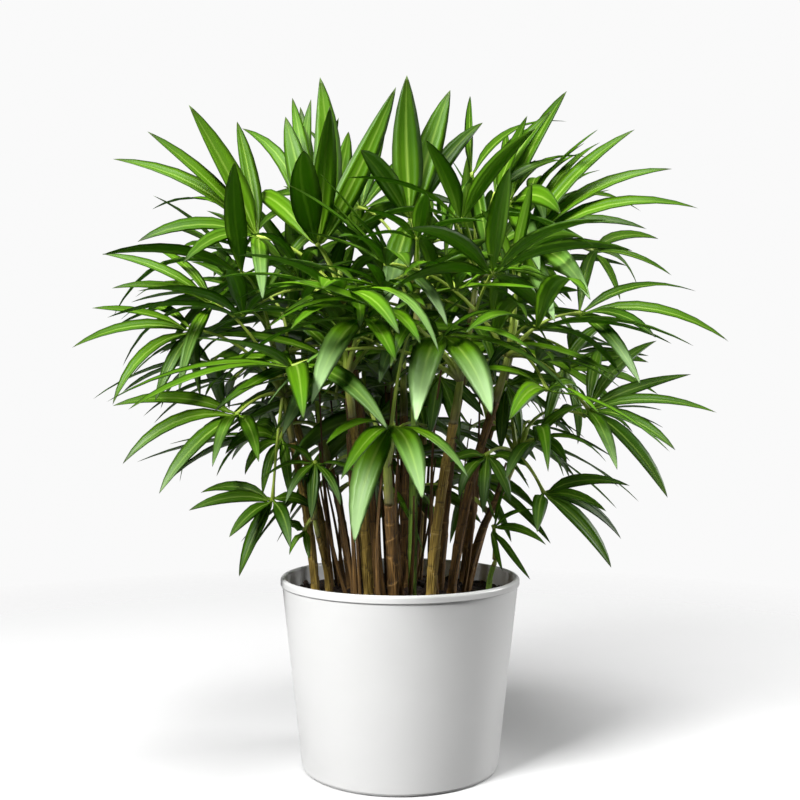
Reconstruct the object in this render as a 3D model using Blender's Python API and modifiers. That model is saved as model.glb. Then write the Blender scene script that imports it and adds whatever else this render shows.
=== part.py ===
"""A potted lady palm: canes standing in a white pot, each with a crown of fan leaves.

Metres, +Z up. The origin is the middle of the pot's foot, and -Y is the front. The fronds
of the front and of both sides have places of their own, and a rule with a fixed seed places
the ones behind and inside. Every blade is bent until it is clear of the other stems' leaves.
"""

import math
from collections import namedtuple

import bmesh
import bpy
import numpy as np
from mathutils.bvhtree import BVHTree

# The pot, from the table up
POT_HEIGHT = 0.190
POT_TOP_RADIUS = 0.1195
POT_FOOT_RADIUS = 0.0985
POT_WALL = 0.005
POT_FLOOR = 0.008
POT_FOOT_EDGE = 0.003
FOOT_EDGE_STEP = 0.0009
LIP_HEIGHT = 0.0075
LIP_PROUD = 0.0008
LIP_TURNS = (180, 135, 90, 45, 0)
POT_STEPS = 40

# The soil inside it
SOIL_BELOW_LIP = 0.019
SOIL_DOME = 0.004
SOIL_RING = 0.55
SOIL_STEPS = 32
FIT_GAP = 0.0003
HOLE_GAP = 0.0004

# The canes and the green shoot that tops each one
PLANTING_DEPTH = 0.035
STRAIGHT_FOOT = 0.016
CANE_LEAN = 0.55
CANE_TAPER = 0.85
CANE_SIDES = 6
SHOOT_TAPER = 0.45
SHOOT_LEAN_UP = 0.35

# The fronds
PETIOLE_RADIUS = 0.0020
PETIOLE_END = 0.0012
PETIOLE_SIDES = 4
HUB_THICKNESS = 0.0046
HUB_REACH = 0.0070
ROOT_THICKNESS = 0.0024
BLADE_THICKNESS = 0.0017
BLADE_FOLD = 0.13
BLADE_LIFT = 0.20
BLADE_STATIONS = (0.36, 0.70)
BLADE_WIDTHS = (1.0, 0.70)
LEAST_SPREAD = math.radians(17)
SPREAD_ROUNDS = 40
HEADING_RISE = 0.3
ROOT_SHARE = 0.85
ROOT_SKIP = 0.06
CLEARANCE = 0.0006
HUB_GUARD = 0.7
STEM_GUARD = 1.15
ARRIVAL_SHARE = 0.35

# The bends to try, mildest first, as shares of a petiole's or a blade's length
PETIOLE_STARTS = (0.55, 0.35, 0.75, 0.9, 0.2)
PETIOLE_BOWS = (0.0, 0.12, -0.12, 0.24, -0.24, 0.36, -0.36, 0.5, -0.5)
PETIOLE_RISES = (0.30, 0.18, 0.42, 0.55)
PETIOLE_BEND = 0.45
PETIOLE_STATIONS = (0.0, 0.34, 0.68, 1.0)
PETIOLE_SINK = 0.3
SIGHT_MOVES = (0.0, 0.10, -0.10, 0.2, -0.2, 0.3, -0.3, 0.45, -0.45, 0.6, -0.6)
SIGHT_SHARES = (0.85, 0.7)
SIGHT_SHORT_MOVES = (0.0, 0.2, -0.2, 0.4, -0.4)
TIP_SHARES = (1.0, 0.8, 0.62)
TIP_DROPS = (0.0, -0.12, 0.12, -0.25, 0.25, 0.4)
TIP_MOVES = (0.0, 0.12, -0.12, 0.25, -0.25)
LIFTS = (BLADE_LIFT, BLADE_LIFT * 1.6, BLADE_LIFT * 0.4, BLADE_LIFT * 2.2)

# Where the reference view stands: straight in front of the pot, level with the leaves
EYE_DISTANCE = 1.10
EYE_HEIGHT = 0.367

# The crown's outline, as an oval that is a little square
CROWN_MIDDLE = np.array([0.0, 0.0, 0.440])
CROWN_HALF = np.array([0.325, 0.290, 0.252])
CROWN_POWER = 2.4
CROWN_CORE = np.array([0.0, 0.0, 0.35])

# The rule for the fronds that have no place of their own
SEED = 10
RULE_DRAWS = 40
RULE_START = 0.6
RULE_PETIOLE = (0.070, 0.165)
RULE_RISE = (math.radians(-15), math.radians(70))
RULE_SAG = 0.15
RULE_FAN_MIDDLE = 0.07
RULE_FAN_REACH = 0.12
RULE_HUB_SHARE = 0.72
RULE_FAN_SHARE = 0.97
RULE_TIP_SHARE = 0.98
RULE_REACH = (0.130, 0.165)
RULE_SIDE_REACH = 0.78
RULE_REACH_DRAW = (0.94, 1.06)
RULE_WIDTH = (0.016, 0.022)
RULE_BLADES = (6, 8)
RULE_SPREAD = math.radians(100)
RULE_ANGLE_DRAW = (-0.06, 0.06)
RULE_DROOP = (0.10, 0.38)
RULE_FACE_OUT = 0.5
RULE_FACE_DRAW = 0.25
RULE_LOWEST_HUB = 0.270

UP = np.array([0.0, 0.0, 1.0])
TOWARDS_EYE = np.array([0.0, -1.0, 0.0])
FACE_EYE = 0.8

GREEN_CANE = (0.16, 0.25, 0.05)
OLIVE_CANE = (0.15, 0.11, 0.03)
BROWN_CANE = (0.07, 0.045, 0.02)

Cane = namedtuple("Cane", "foot top radius shoot colour extra")
Frond = namedtuple("Frond", "cane hub reach blades")
Plan = namedtuple("Plan", "cane name path hub tips widths face seen")

# Each cane: foot on the soil (x, y), top (x, y, z), radius, length of its shoot, colour, and
# how many fronds the rule adds to the ones listed below.
CANES = (
    Cane((-0.084, -0.014), (-0.106, -0.028, 0.325), 0.0050, 0.085, OLIVE_CANE, 2),
    Cane((-0.030, -0.055), (-0.045, -0.080, 0.350), 0.0056, 0.075, OLIVE_CANE, 3),
    Cane((-0.021, -0.022), (-0.050, -0.020, 0.420), 0.0050, 0.080, BROWN_CANE, 2),
    Cane((-0.006, -0.062), (-0.010, -0.090, 0.270), 0.0062, 0.070, BROWN_CANE, 3),
    Cane((0.012, -0.038), (0.016, -0.045, 0.430), 0.0048, 0.085, GREEN_CANE, 2),
    Cane((0.029, -0.060), (0.050, -0.085, 0.345), 0.0056, 0.075, OLIVE_CANE, 3),
    Cane((0.050, -0.032), (0.093, -0.040, 0.365), 0.0052, 0.085, BROWN_CANE, 2),
    Cane((0.040, 0.000), (0.072, 0.010, 0.445), 0.0050, 0.085, BROWN_CANE, 2),
    Cane((0.066, -0.010), (0.100, -0.022, 0.275), 0.0046, 0.070, BROWN_CANE, 1),
    Cane((0.086, -0.036), (0.091, -0.045, 0.206), 0.0030, 0.014, GREEN_CANE, 0),
    Cane((-0.072, 0.028), (-0.118, 0.045, 0.365), 0.0050, 0.085, OLIVE_CANE, 5),
    Cane((-0.040, 0.066), (-0.062, 0.112, 0.385), 0.0052, 0.085, BROWN_CANE, 5),
    Cane((-0.008, 0.030), (-0.014, 0.052, 0.440), 0.0050, 0.090, BROWN_CANE, 5),
    Cane((0.020, 0.072), (0.030, 0.118, 0.410), 0.0052, 0.085, OLIVE_CANE, 5),
    Cane((0.066, 0.042), (0.112, 0.074, 0.385), 0.0050, 0.085, BROWN_CANE, 5),
    Cane((-0.069, -0.038), (-0.078, -0.056, 0.235), 0.0036, 0.036, OLIVE_CANE, 0),
    Cane((-0.050, 0.004), (-0.072, 0.008, 0.300), 0.0046, 0.070, BROWN_CANE, 1),
    Cane((0.006, -0.006), (0.004, 0.006, 0.350), 0.0056, 0.080, BROWN_CANE, 1),
    Cane((-0.026, 0.006), (-0.034, 0.020, 0.330), 0.0046, 0.070, OLIVE_CANE, 1),
)

# The fronds seen from the front. A hub is (x, depth, z) and a blade is (x, z, lean, width) of
# its tip, x and z as seen on the upright plane through the pot's axis. The lean says how the
# rest of the reach is spent: -1 all towards the eye, 1 all away from it.
SEEN_FRONDS = {
    "high_left": Frond(2, (-0.143, -0.020, 0.532), 0.170, (
        (-0.291, 0.611, -0.3, 0.020), (-0.256, 0.639, -0.6, 0.020), (-0.214, 0.666, -0.3, 0.027),
        (-0.165, 0.649, 0.7, 0.017), (-0.251, 0.560, 0.7, 0.017), (-0.266, 0.527, -0.8, 0.016),
        (-0.220, 0.505, -0.9, 0.014), (-0.139, 0.468, -0.9, 0.016),
    )),
    "top_left": Frond(2, (-0.083, -0.055, 0.524), 0.165, (
        (-0.116, 0.654, 0.3, 0.020), (-0.109, 0.673, 0.7, 0.013), (-0.081, 0.694, -0.1, 0.024),
        (-0.071, 0.665, -0.7, 0.020), (-0.004, 0.684, -0.3, 0.020), (-0.052, 0.639, 0.7, 0.018),
        (-0.098, 0.620, -0.9, 0.027), (-0.143, 0.570, 0.8, 0.016),
    )),
    "upper_left": Frond(0, (-0.189, -0.050, 0.465), 0.135, (
        (-0.302, 0.515, -0.3, 0.016), (-0.292, 0.480, -0.7, 0.015), (-0.268, 0.471, 0.6, 0.014),
        (-0.253, 0.522, 0.5, 0.013), (-0.224, 0.375, -0.6, 0.015),
    )),
    "mid_left": Frond(0, (-0.209, -0.070, 0.438), 0.150, (
        (-0.312, 0.460, -0.6, 0.016), (-0.332, 0.420, -0.3, 0.020), (-0.291, 0.362, -0.5, 0.018),
        (-0.248, 0.366, -0.8, 0.016), (-0.202, 0.369, 0.6, 0.016), (-0.283, 0.448, 0.8, 0.014),
    )),
    "low_left": Frond(0, (-0.164, -0.060, 0.354), 0.140, (
        (-0.291, 0.361, -0.3, 0.019), (-0.281, 0.302, -0.5, 0.019), (-0.244, 0.272, -0.7, 0.022),
        (-0.223, 0.284, 0.6, 0.014), (-0.190, 0.299, -0.8, 0.017), (-0.143, 0.304, -0.8, 0.017),
        (-0.123, 0.333, 0.7, 0.014),
    )),
    "foot_left": Frond(0, (-0.129, -0.045, 0.267), 0.100, (
        (-0.214, 0.255, -0.3, 0.013), (-0.202, 0.273, 0.6, 0.012), (-0.173, 0.228, -0.5, 0.013),
        (-0.163, 0.188, -0.4, 0.016), (-0.111, 0.217, -0.8, 0.015), (-0.086, 0.254, 0.6, 0.012),
    )),
    "sucker_left": Frond(15, (-0.086, -0.075, 0.303), 0.070, (
        (-0.140, 0.286, -0.3, 0.011), (-0.116, 0.262, -0.6, 0.011), (-0.090, 0.246, -0.4, 0.012),
        (-0.060, 0.260, -0.5, 0.011), (-0.042, 0.292, -0.3, 0.011), (-0.122, 0.322, 0.5, 0.010),
    )),
    "rim_left": Frond(15, (-0.096, -0.050, 0.236), 0.042, (
        (-0.112, 0.210, -0.3, 0.008), (-0.092, 0.206, -0.6, 0.008), (-0.120, 0.242, 0.3, 0.008),
    )),
    "top": Frond(4, (0.011, -0.040, 0.551), 0.155, (
        (0.007, 0.696, -0.2, 0.027), (0.051, 0.681, 0.3, 0.024), (-0.040, 0.620, -0.7, 0.020),
        (0.084, 0.648, 0.7, 0.016), (0.012, 0.628, 0.8, 0.017), (-0.015, 0.463, -0.8, 0.024),
        (0.019, 0.456, -0.8, 0.025),
    )),
    "top_right": Frond(7, (0.073, 0.000, 0.595), 0.135, (
        (0.129, 0.647, -0.4, 0.016), (0.169, 0.649, 0.4, 0.014), (0.046, 0.508, -0.7, 0.025),
        (0.090, 0.501, -0.8, 0.025), (0.071, 0.675, 0.8, 0.016),
    )),
    "upper_right": Frond(7, (0.110, -0.015, 0.567), 0.150, (
        (0.169, 0.680, -0.3, 0.024), (0.188, 0.613, 0.5, 0.018), (0.107, 0.639, 0.8, 0.014),
        (0.142, 0.497, -0.8, 0.020), (0.163, 0.555, -0.9, 0.018),
    )),
    "high_right": Frond(6, (0.128, -0.045, 0.523), 0.170, (
        (0.238, 0.641, -0.3, 0.019), (0.276, 0.601, 0.2, 0.018), (0.302, 0.561, -0.2, 0.018),
        (0.203, 0.628, 0.7, 0.015), (0.193, 0.468, -0.8, 0.018), (0.157, 0.446, -0.9, 0.018),
    )),
    "back_right": Frond(7, (0.193, 0.045, 0.519), 0.115, (
        (0.262, 0.530, 0.5, 0.014), (0.275, 0.493, -0.4, 0.015), (0.241, 0.481, 0.7, 0.013),
        (0.223, 0.468, -0.8, 0.014),
    )),
    "mid_right": Frond(6, (0.181, -0.060, 0.455), 0.160, (
        (0.300, 0.477, 0.4, 0.018), (0.333, 0.426, -0.3, 0.019), (0.259, 0.430, -0.8, 0.015),
        (0.244, 0.382, -0.8, 0.016), (0.203, 0.519, 0.7, 0.015),
    )),
    "low_right": Frond(6, (0.190, -0.070, 0.359), 0.150, (
        (0.260, 0.427, 0.6, 0.015), (0.295, 0.393, 0.4, 0.017), (0.321, 0.354, -0.3, 0.018),
        (0.279, 0.316, -0.5, 0.018), (0.271, 0.268, -0.4, 0.020), (0.220, 0.296, -0.8, 0.017),
        (0.203, 0.418, 0.8, 0.015),
    )),
    "under_right": Frond(8, (0.137, -0.060, 0.327), 0.100, (
        (0.169, 0.303, -0.7, 0.014), (0.150, 0.294, -0.8, 0.014), (0.209, 0.304, 0.4, 0.013),
        (0.188, 0.362, 0.6, 0.014), (0.107, 0.286, -0.7, 0.015),
    )),
    "inner_right": Frond(8, (0.088, -0.070, 0.312), 0.075, (
        (0.060, 0.266, -0.4, 0.012), (0.084, 0.252, -0.6, 0.012), (0.112, 0.264, -0.3, 0.012),
        (0.128, 0.300, -0.6, 0.012), (0.050, 0.304, -0.3, 0.012),
    )),
    "behind_right": Frond(14, (0.165, 0.035, 0.400), 0.115, (
        (0.252, 0.405, 0.3, 0.014), (0.262, 0.372, -0.4, 0.014), (0.228, 0.340, -0.3, 0.014),
        (0.180, 0.322, 0.4, 0.014), (0.210, 0.445, 0.6, 0.013), (0.146, 0.335, -0.5, 0.014),
    )),
    "foot_right": Frond(8, (0.145, -0.045, 0.274), 0.105, (
        (0.233, 0.280, 0.3, 0.015), (0.209, 0.254, -0.5, 0.014), (0.224, 0.226, 0.5, 0.012),
        (0.214, 0.197, -0.3, 0.019), (0.139, 0.233, -0.7, 0.015),
    )),
    "sucker_right": Frond(9, (0.095, -0.056, 0.238), 0.062, (
        (0.148, 0.220, -0.3, 0.009), (0.132, 0.185, -0.3, 0.009), (0.104, 0.194, -0.3, 0.009),
        (0.136, 0.256, -0.3, 0.008), (0.110, 0.290, 0.1, 0.008), (0.078, 0.282, -0.3, 0.008),
    )),
    "front_left": Frond(1, (-0.035, -0.115, 0.450), 0.160, (
        (-0.189, 0.374, -0.3, 0.020), (-0.090, 0.362, -0.8, 0.022), (-0.004, 0.405, -0.9, 0.018),
        (-0.111, 0.438, -0.9, 0.017), (0.021, 0.423, -0.9, 0.016),
    )),
    "front_right": Frond(5, (0.041, -0.125, 0.433), 0.140, (
        (0.016, 0.343, -0.8, 0.027), (0.093, 0.351, -0.8, 0.027), (0.186, 0.355, -0.2, 0.017),
        (-0.010, 0.398, -0.8, 0.017), (0.132, 0.418, -0.8, 0.016),
    )),
    "front_low": Frond(3, (-0.007, -0.130, 0.341), 0.150, (
        (-0.046, 0.222, -0.6, 0.025), (0.023, 0.266, -0.8, 0.022), (0.069, 0.288, -0.5, 0.016),
        (-0.075, 0.322, -0.6, 0.016), (-0.060, 0.286, -0.8, 0.016),
    )),
}

# A blade's triangles between two rings of four points: left edge, top, right edge, bottom.
# Both faces are split from the edge near the hub to the rib further out.
BAND = ((0, 1, 5), (0, 5, 4), (1, 2, 5), (2, 6, 5), (2, 3, 7), (2, 7, 6), (3, 0, 7), (0, 4, 7))
CLOSING = ((0, 1, 4), (1, 2, 4), (2, 3, 4), (3, 0, 4))


def clear_scene():
    """Removes whatever the file holds, so that only the palm is in it."""
    for obj in list(bpy.data.objects):
        bpy.data.objects.remove(obj, do_unlink=True)


def collection(name, hidden=False):
    """A collection of this name, linked to the scene; a hidden one holds the cutters."""
    made = bpy.data.collections.new(name)
    bpy.context.scene.collection.children.link(made)
    made.hide_render = hidden
    return made


def material(name, colour, roughness):
    """A plain Principled finish."""
    made = bpy.data.materials.new(name)
    made.use_nodes = True
    shader = made.node_tree.nodes["Principled BSDF"]
    shader.inputs["Base Color"].default_value = (*colour, 1.0)
    shader.inputs["Roughness"].default_value = roughness
    return made


def unit(vector):
    """The same direction with length one."""
    return vector / np.linalg.norm(vector)


def mesh_object(name, points, faces, home):
    """An object from arrays of points and faces, in a collection."""
    mesh = bpy.data.meshes.new(name)
    mesh.from_pydata([tuple(point) for point in points], [], [tuple(face) for face in faces])
    obj = bpy.data.objects.new(name, mesh)
    home.objects.link(obj)
    return obj


def tube(name, points, radii, sides, home):
    """A round stem along the points: a bevelled curve with closed ends, made a mesh."""
    curve = bpy.data.curves.new(name, "CURVE")
    curve.dimensions = "3D"
    curve.bevel_depth = 1.0
    curve.bevel_resolution = sides // 2 - 2
    curve.use_fill_caps = True
    spline = curve.splines.new("POLY")
    spline.points.add(len(points) - 1)
    for place, point, radius in zip(spline.points, points, radii):
        place.co = (*point, 1.0)
        place.radius = radius
    guide = bpy.data.objects.new(name, curve)
    home.objects.link(guide)
    bpy.context.view_layer.update()
    graph = bpy.context.evaluated_depsgraph_get()
    mesh = bpy.data.meshes.new_from_object(guide.evaluated_get(graph))
    place = guide.matrix_world.copy()
    bpy.data.objects.remove(guide)
    shape = bmesh.new()
    shape.from_mesh(mesh)
    bmesh.ops.remove_doubles(shape, verts=shape.verts, dist=1e-6)
    bmesh.ops.recalc_face_normals(shape, faces=shape.faces)
    shape.to_mesh(mesh)
    shape.free()
    obj = bpy.data.objects.new(name, mesh)
    obj.matrix_world = place
    home.objects.link(obj)
    return obj


def turned(name, profile, steps, home):
    """A turned shape: the profile in the XZ plane, swept once round the Z axis."""
    points = [(radius, 0.0, height) for radius, height in profile]
    edges = [(index, index + 1) for index in range(len(points) - 1)]
    mesh = bpy.data.meshes.new(name)
    mesh.from_pydata(points, edges, [])
    obj = bpy.data.objects.new(name, mesh)
    home.objects.link(obj)
    screw = obj.modifiers.new("turn", "SCREW")
    screw.steps = steps
    screw.render_steps = steps
    screw.use_merge_vertices = True
    screw.merge_threshold = 0.00002
    return obj


def finish(obj, material_made):
    """Smooth shading with crisp edges, and the finish of the piece."""
    obj.data.materials.clear()
    obj.data.materials.append(material_made)
    obj.data.shade_smooth()
    obj.data.set_sharp_from_angle(angle=math.radians(40))


def pot_radius(height):
    """The outer radius of the pot's straight wall at this height."""
    return POT_FOOT_RADIUS + (POT_TOP_RADIUS - POT_FOOT_RADIUS) * height / POT_HEIGHT


def soil_height(radius):
    """The soil's surface: a low dome that meets the wall SOIL_BELOW_LIP under the lip."""
    wall = pot_radius(POT_HEIGHT - SOIL_BELOW_LIP) - POT_WALL
    return POT_HEIGHT - SOIL_BELOW_LIP + SOIL_DOME * (1.0 - (radius / wall) ** 2)


def make_pot(home):
    """The white pot: a straight tapered wall with a rolled lip and a flat foot."""
    lip_foot = POT_HEIGHT - LIP_HEIGHT
    lip_middle = POT_TOP_RADIUS + (LIP_PROUD - POT_WALL) / 2
    lip_half = (POT_WALL + LIP_PROUD) / 2
    crest = POT_HEIGHT - lip_half
    profile = [(0.0, POT_FLOOR), (pot_radius(POT_FLOOR) - POT_WALL, POT_FLOOR)]
    for turn in map(math.radians, LIP_TURNS):
        profile.append((lip_middle + lip_half * math.cos(turn), crest + lip_half * math.sin(turn)))
    profile += [(POT_TOP_RADIUS + LIP_PROUD, lip_foot + LIP_PROUD),
                (pot_radius(lip_foot), lip_foot),
                (pot_radius(POT_FOOT_EDGE), POT_FOOT_EDGE),
                (pot_radius(0.0) - FOOT_EDGE_STEP, FOOT_EDGE_STEP),
                (pot_radius(0.0) - POT_FOOT_EDGE, 0.0),
                (0.0, 0.0)]
    finish(turned("pot", profile, POT_STEPS, home), material("white_glaze", (0.82, 0.82, 0.80), 0.22))


def make_soil(home, cutters):
    """The soil: a filled tapered drum with a low dome, and a blind hole for every cane."""
    top = POT_HEIGHT - SOIL_BELOW_LIP
    floor = POT_FLOOR + FIT_GAP
    rim = pot_radius(top) - POT_WALL - 2 * FIT_GAP
    foot = pot_radius(floor) - POT_WALL - 2 * FIT_GAP
    profile = [(0.0, soil_height(0.0)), (rim * SOIL_RING, soil_height(rim * SOIL_RING)),
               (rim, soil_height(rim)), (foot, floor), (0.0, floor)]
    obj = turned("soil", profile, SOIL_STEPS, home)
    for index, cane in enumerate(CANES):
        low, high = cane_path(cane)[:2]
        reach = cane.radius + HOLE_GAP
        ends = [low - unit(high - low) * HOLE_GAP, high]
        hole = tube(f"hole_{index + 1:02d}", ends, [reach, reach], CANE_SIDES, cutters)
        hole.display_type = "WIRE"
        hole.hide_render = True
    cut = obj.modifiers.new("cane_holes", "BOOLEAN")
    cut.operation = "DIFFERENCE"
    cut.operand_type = "COLLECTION"
    cut.collection = cutters
    finish(obj, material("soil", (0.035, 0.022, 0.015), 0.95))


def cane_path(cane):
    """A cane's points: straight in the soil, then a slow bend outwards to its top."""
    foot = np.array([*cane.foot, soil_height(math.hypot(*cane.foot))])
    top = np.array(cane.top)
    lean = unit((top - foot) * (CANE_LEAN, CANE_LEAN, 1.0))
    below = foot - lean * PLANTING_DEPTH / lean[2]
    above = foot + lean * STRAIGHT_FOOT
    knee = above + lean * np.linalg.norm(top - above) / 2
    return np.array([below, above, bezier(above, knee, top, [0.5])[0], top])


def cane_radii(cane):
    """The cane's radius at its four points."""
    return np.linspace(cane.radius, cane.radius * CANE_TAPER, 4)


def shoot_path(cane):
    """The green shoot: it goes on from the cane and turns up as it rises."""
    path = cane_path(cane)
    along = unit(path[3] - path[2])
    rise = unit(along + SHOOT_LEAN_UP * UP)
    start = path[3] + along * FIT_GAP
    knee = start + along * cane.shoot / 2
    return np.array([start, knee, knee + rise * cane.shoot / 2])


def shoot_radii(cane):
    """The shoot's radius at its three points."""
    return cane.radius * np.linspace(CANE_TAPER, SHOOT_TAPER, 3)


def ring_tube(points, radii, sides):
    """A tube as arrays, for finding out what it would touch: one ring of points a station."""
    points = np.asarray(points)
    along = np.gradient(points, axis=0)
    along /= np.linalg.norm(along, axis=1)[:, None]
    across = np.cross(along, (0.31, 0.95, 0.05))
    across /= np.linalg.norm(across, axis=1)[:, None]
    other = np.cross(along, across)
    angles = np.arange(sides) * 2 * math.pi / sides
    spokes = np.cos(angles)[:, None] * across[:, None] + np.sin(angles)[:, None] * other[:, None]
    rings = points[:, None] + np.asarray(radii)[:, None, None] * spokes
    start = np.arange(len(points) - 1)[:, None] * sides + np.arange(sides)
    turn = np.arange(len(points) - 1)[:, None] * sides + (np.arange(sides) + 1) % sides
    faces = np.stack([start, turn, turn + sides, start + sides], axis=-1).reshape(-1, 4)
    return rings.reshape(-1, 3), faces


def search_tree(shape):
    """The shape's faces as a tree that finds where another one crosses them."""
    points, faces = shape
    return BVHTree.FromPolygons(points.tolist(), faces.tolist())


class Thicket:
    """Everything that already stands, so that a new leaf can be tried against it."""

    def __init__(self):
        self.trees = []
        self.labels = []
        self.low = np.empty((0, 3))
        self.high = np.empty((0, 3))

    def add(self, shape, stem, frond=None, kind="stem"):
        """Keeps a shape with the stem and the frond that it belongs to."""
        self.trees.append(search_tree(shape))
        self.labels.append((stem, frond, kind))
        self.low = np.vstack([self.low, shape[0].min(axis=0)])
        self.high = np.vstack([self.high, shape[0].max(axis=0)])

    def is_clear(self, shape, stem, frond, leaves_stem=False):
        """Whether the shape touches nothing but its own hub, or its own stem if it leaves it."""
        near = (self.low <= shape[0].max(axis=0)).all(axis=1)
        near &= (self.high >= shape[0].min(axis=0)).all(axis=1)
        tree = None
        for index in np.flatnonzero(near):
            other_stem, other_frond, kind = self.labels[index]
            if other_stem == stem:
                if leaves_stem or (other_frond == frond and kind == "hub"):
                    continue
            tree = tree or search_tree(shape)
            if tree.overlap(self.trees[index]):
                return False
        return True


def sighted(x, z, depth):
    """A point of the upright plane through the axis, moved along its sight line to a depth."""
    scale = 1.0 + depth / EYE_DISTANCE
    return np.array([x * scale, depth, EYE_HEIGHT + (z - EYE_HEIGHT) * scale])


def in_crown(point, share):
    """Whether a point is inside the crown's oval, seen from the front and in the round."""
    scale = 1.0 + point[1] / EYE_DISTANCE
    seen = np.array([point[0] / scale, EYE_HEIGHT + (point[2] - EYE_HEIGHT) / scale])
    flat = np.abs(seen - CROWN_MIDDLE[[0, 2]]) / CROWN_HALF[[0, 2]]
    solid = np.abs(point - CROWN_MIDDLE) / CROWN_HALF
    return max((flat ** CROWN_POWER).sum(), (solid ** CROWN_POWER).sum()) < share ** CROWN_POWER


def bezier(start, control, end, steps):
    """Points of a curve that leaves start towards control and comes to end from it."""
    steps = np.asarray(steps)[:, None]
    return start * (1 - steps) ** 2 + control * 2 * steps * (1 - steps) + end * steps ** 2


def blade_rings(hub, roots, heading, tip, lift, width, face_way):
    """A blade's rings: it leaves the hub on its heading and arches over to its tip.

    Each ring has four points: the two edges, raised above the rib so that the blade is
    folded like a shallow V, and the rib's top and underside. The first ring's edges are the
    two root points that the blade shares with its neighbours.
    """
    length = np.linalg.norm(tip - hub)
    towards = (tip - hub) / length
    arch = UP - towards * towards[2]
    control = hub + length * (unit(heading + towards) / 2 + lift * arch)
    steps = np.array([HUB_REACH / length, *BLADE_STATIONS])
    middle = bezier(hub, control, tip, steps)
    middle[0] = hub + heading * HUB_REACH
    tangent = (control - hub) * (1 - steps[:, None]) + (tip - control) * steps[:, None]
    tangent /= np.linalg.norm(tangent, axis=1)[:, None]
    side = np.cross(heading, face_way)
    side = side - tangent * (tangent @ side)[:, None]
    side /= np.linalg.norm(side, axis=1)[:, None]
    normal = np.cross(side, tangent)
    normal[0] = face_way
    widths = np.array([0.0, *BLADE_WIDTHS])[:, None] * width
    raised = widths * BLADE_FOLD * normal
    deep = np.array([ROOT_THICKNESS, BLADE_THICKNESS, BLADE_THICKNESS])[:, None] / 2 * normal
    rings = np.stack([middle - side * widths / 2 + raised, middle + deep,
                      middle + side * widths / 2 + raised, middle - deep], axis=1)
    rings[0, 0], rings[0, 2] = roots
    return rings


def band_faces(first, second):
    """The triangles between two rings, each given by the indices of its four points."""
    ring = [*first, *second]
    return [tuple(ring[corner] for corner in face) for face in BAND]


def trial_blade(rings, tip, from_root, clearance):
    """A blade's outside with a skin of clearance, from a share of its first band to its tip."""
    rings = rings.copy()
    rings[0] += (rings[1] - rings[0]) * from_root
    side = rings[:, 2] - rings[:, 0]
    side /= np.linalg.norm(side, axis=1)[:, None]
    normal = rings[:, 1] - rings[:, 3]
    normal /= np.linalg.norm(normal, axis=1)[:, None]
    skin = np.stack([-side, normal, side, -normal], axis=1) * clearance
    last = tip + skin[-1] + unit(tip - rings[-1, 3]) * clearance
    points = np.concatenate([(rings + skin).reshape(-1, 3), last])
    faces = []
    for start in range(0, len(points) - 4, 4):
        faces += band_faces(range(start, start + 4), range(start + 4, start + 8))
    return points, np.array(faces)


def fan_frame(hub, tips, arrival, face):
    """The middle direction of a fan, the way its upper face looks, and its right-hand side."""
    outward = np.array([unit(tip - hub) for tip in tips])
    middle = unit(outward.mean(axis=0) + ARRIVAL_SHARE * arrival)
    face_way = unit(face - middle * (face @ middle))
    return middle, face_way, np.cross(middle, face_way)


def fan_headings(hub, tips, middle, face_way, right):
    """The order of the blades from left to right, and the way each leaves the hub.

    Headings lie near the fan's own plane, and neighbours are kept LEAST_SPREAD apart.
    """
    outward = np.array([unit(tip - hub) for tip in tips])
    angles = np.arctan2(outward @ right, outward @ middle)
    order = np.argsort(angles)
    spread = angles[order]
    for _ in range(SPREAD_ROUNDS):
        short = LEAST_SPREAD - np.diff(spread)
        short[short < 0] = 0.0
        spread[:-1] -= short / 2
        spread[1:] += short / 2
    rise = np.clip(outward[order] @ face_way, -0.9, 0.9) * HEADING_RISE
    headings = (np.cos(spread)[:, None] * middle + np.sin(spread)[:, None] * right
                + rise[:, None] * face_way)
    return order, headings / np.linalg.norm(headings, axis=1)[:, None]


def fan_roots(hub, headings, face_way):
    """The points where neighbouring blades part: halfway between their headings, near the hub."""
    half_gap = LEAST_SPREAD / 2
    ends = []
    for heading, turn in ((headings[0], -half_gap), (headings[-1], half_gap)):
        side = unit(np.cross(heading, face_way))
        ends.append(heading * math.cos(turn) + side * math.sin(turn))
    between = (headings[:-1] + headings[1:]) / 2
    return hub + ROOT_SHARE * HUB_REACH * np.array([ends[0], *between, ends[1]])


def fan_mesh(hub, roots, blades, face_way):
    """One closed fan: all blades grow out of a small hub and share their root points.

    The blades, as (rings, tip), are in order from left to right. The faces of the hub close
    the fan behind its first and last blade.
    """
    count = len(blades)
    points = [hub + face_way * HUB_THICKNESS / 2, hub - face_way * HUB_THICKNESS / 2, *roots]
    faces = [(0, 2, 1), (0, 1, 2 + count)]
    for index, (rings, tip) in enumerate(blades):
        start = len(points)
        points += [rings[0][1], rings[0][3], *rings[1], *rings[2], tip]
        left, right, top, bottom = 2 + index, 3 + index, start, start + 1
        faces += [(0, top, left), (0, right, top), (1, left, bottom), (1, bottom, right)]
        first = range(start + 2, start + 6)
        second = range(start + 6, start + 10)
        faces += band_faces((left, top, right, bottom), first)
        faces += band_faces(first, second)
        faces += [tuple([*second, start + 10][corner] for corner in face) for face in CLOSING]
    return points, faces


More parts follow.
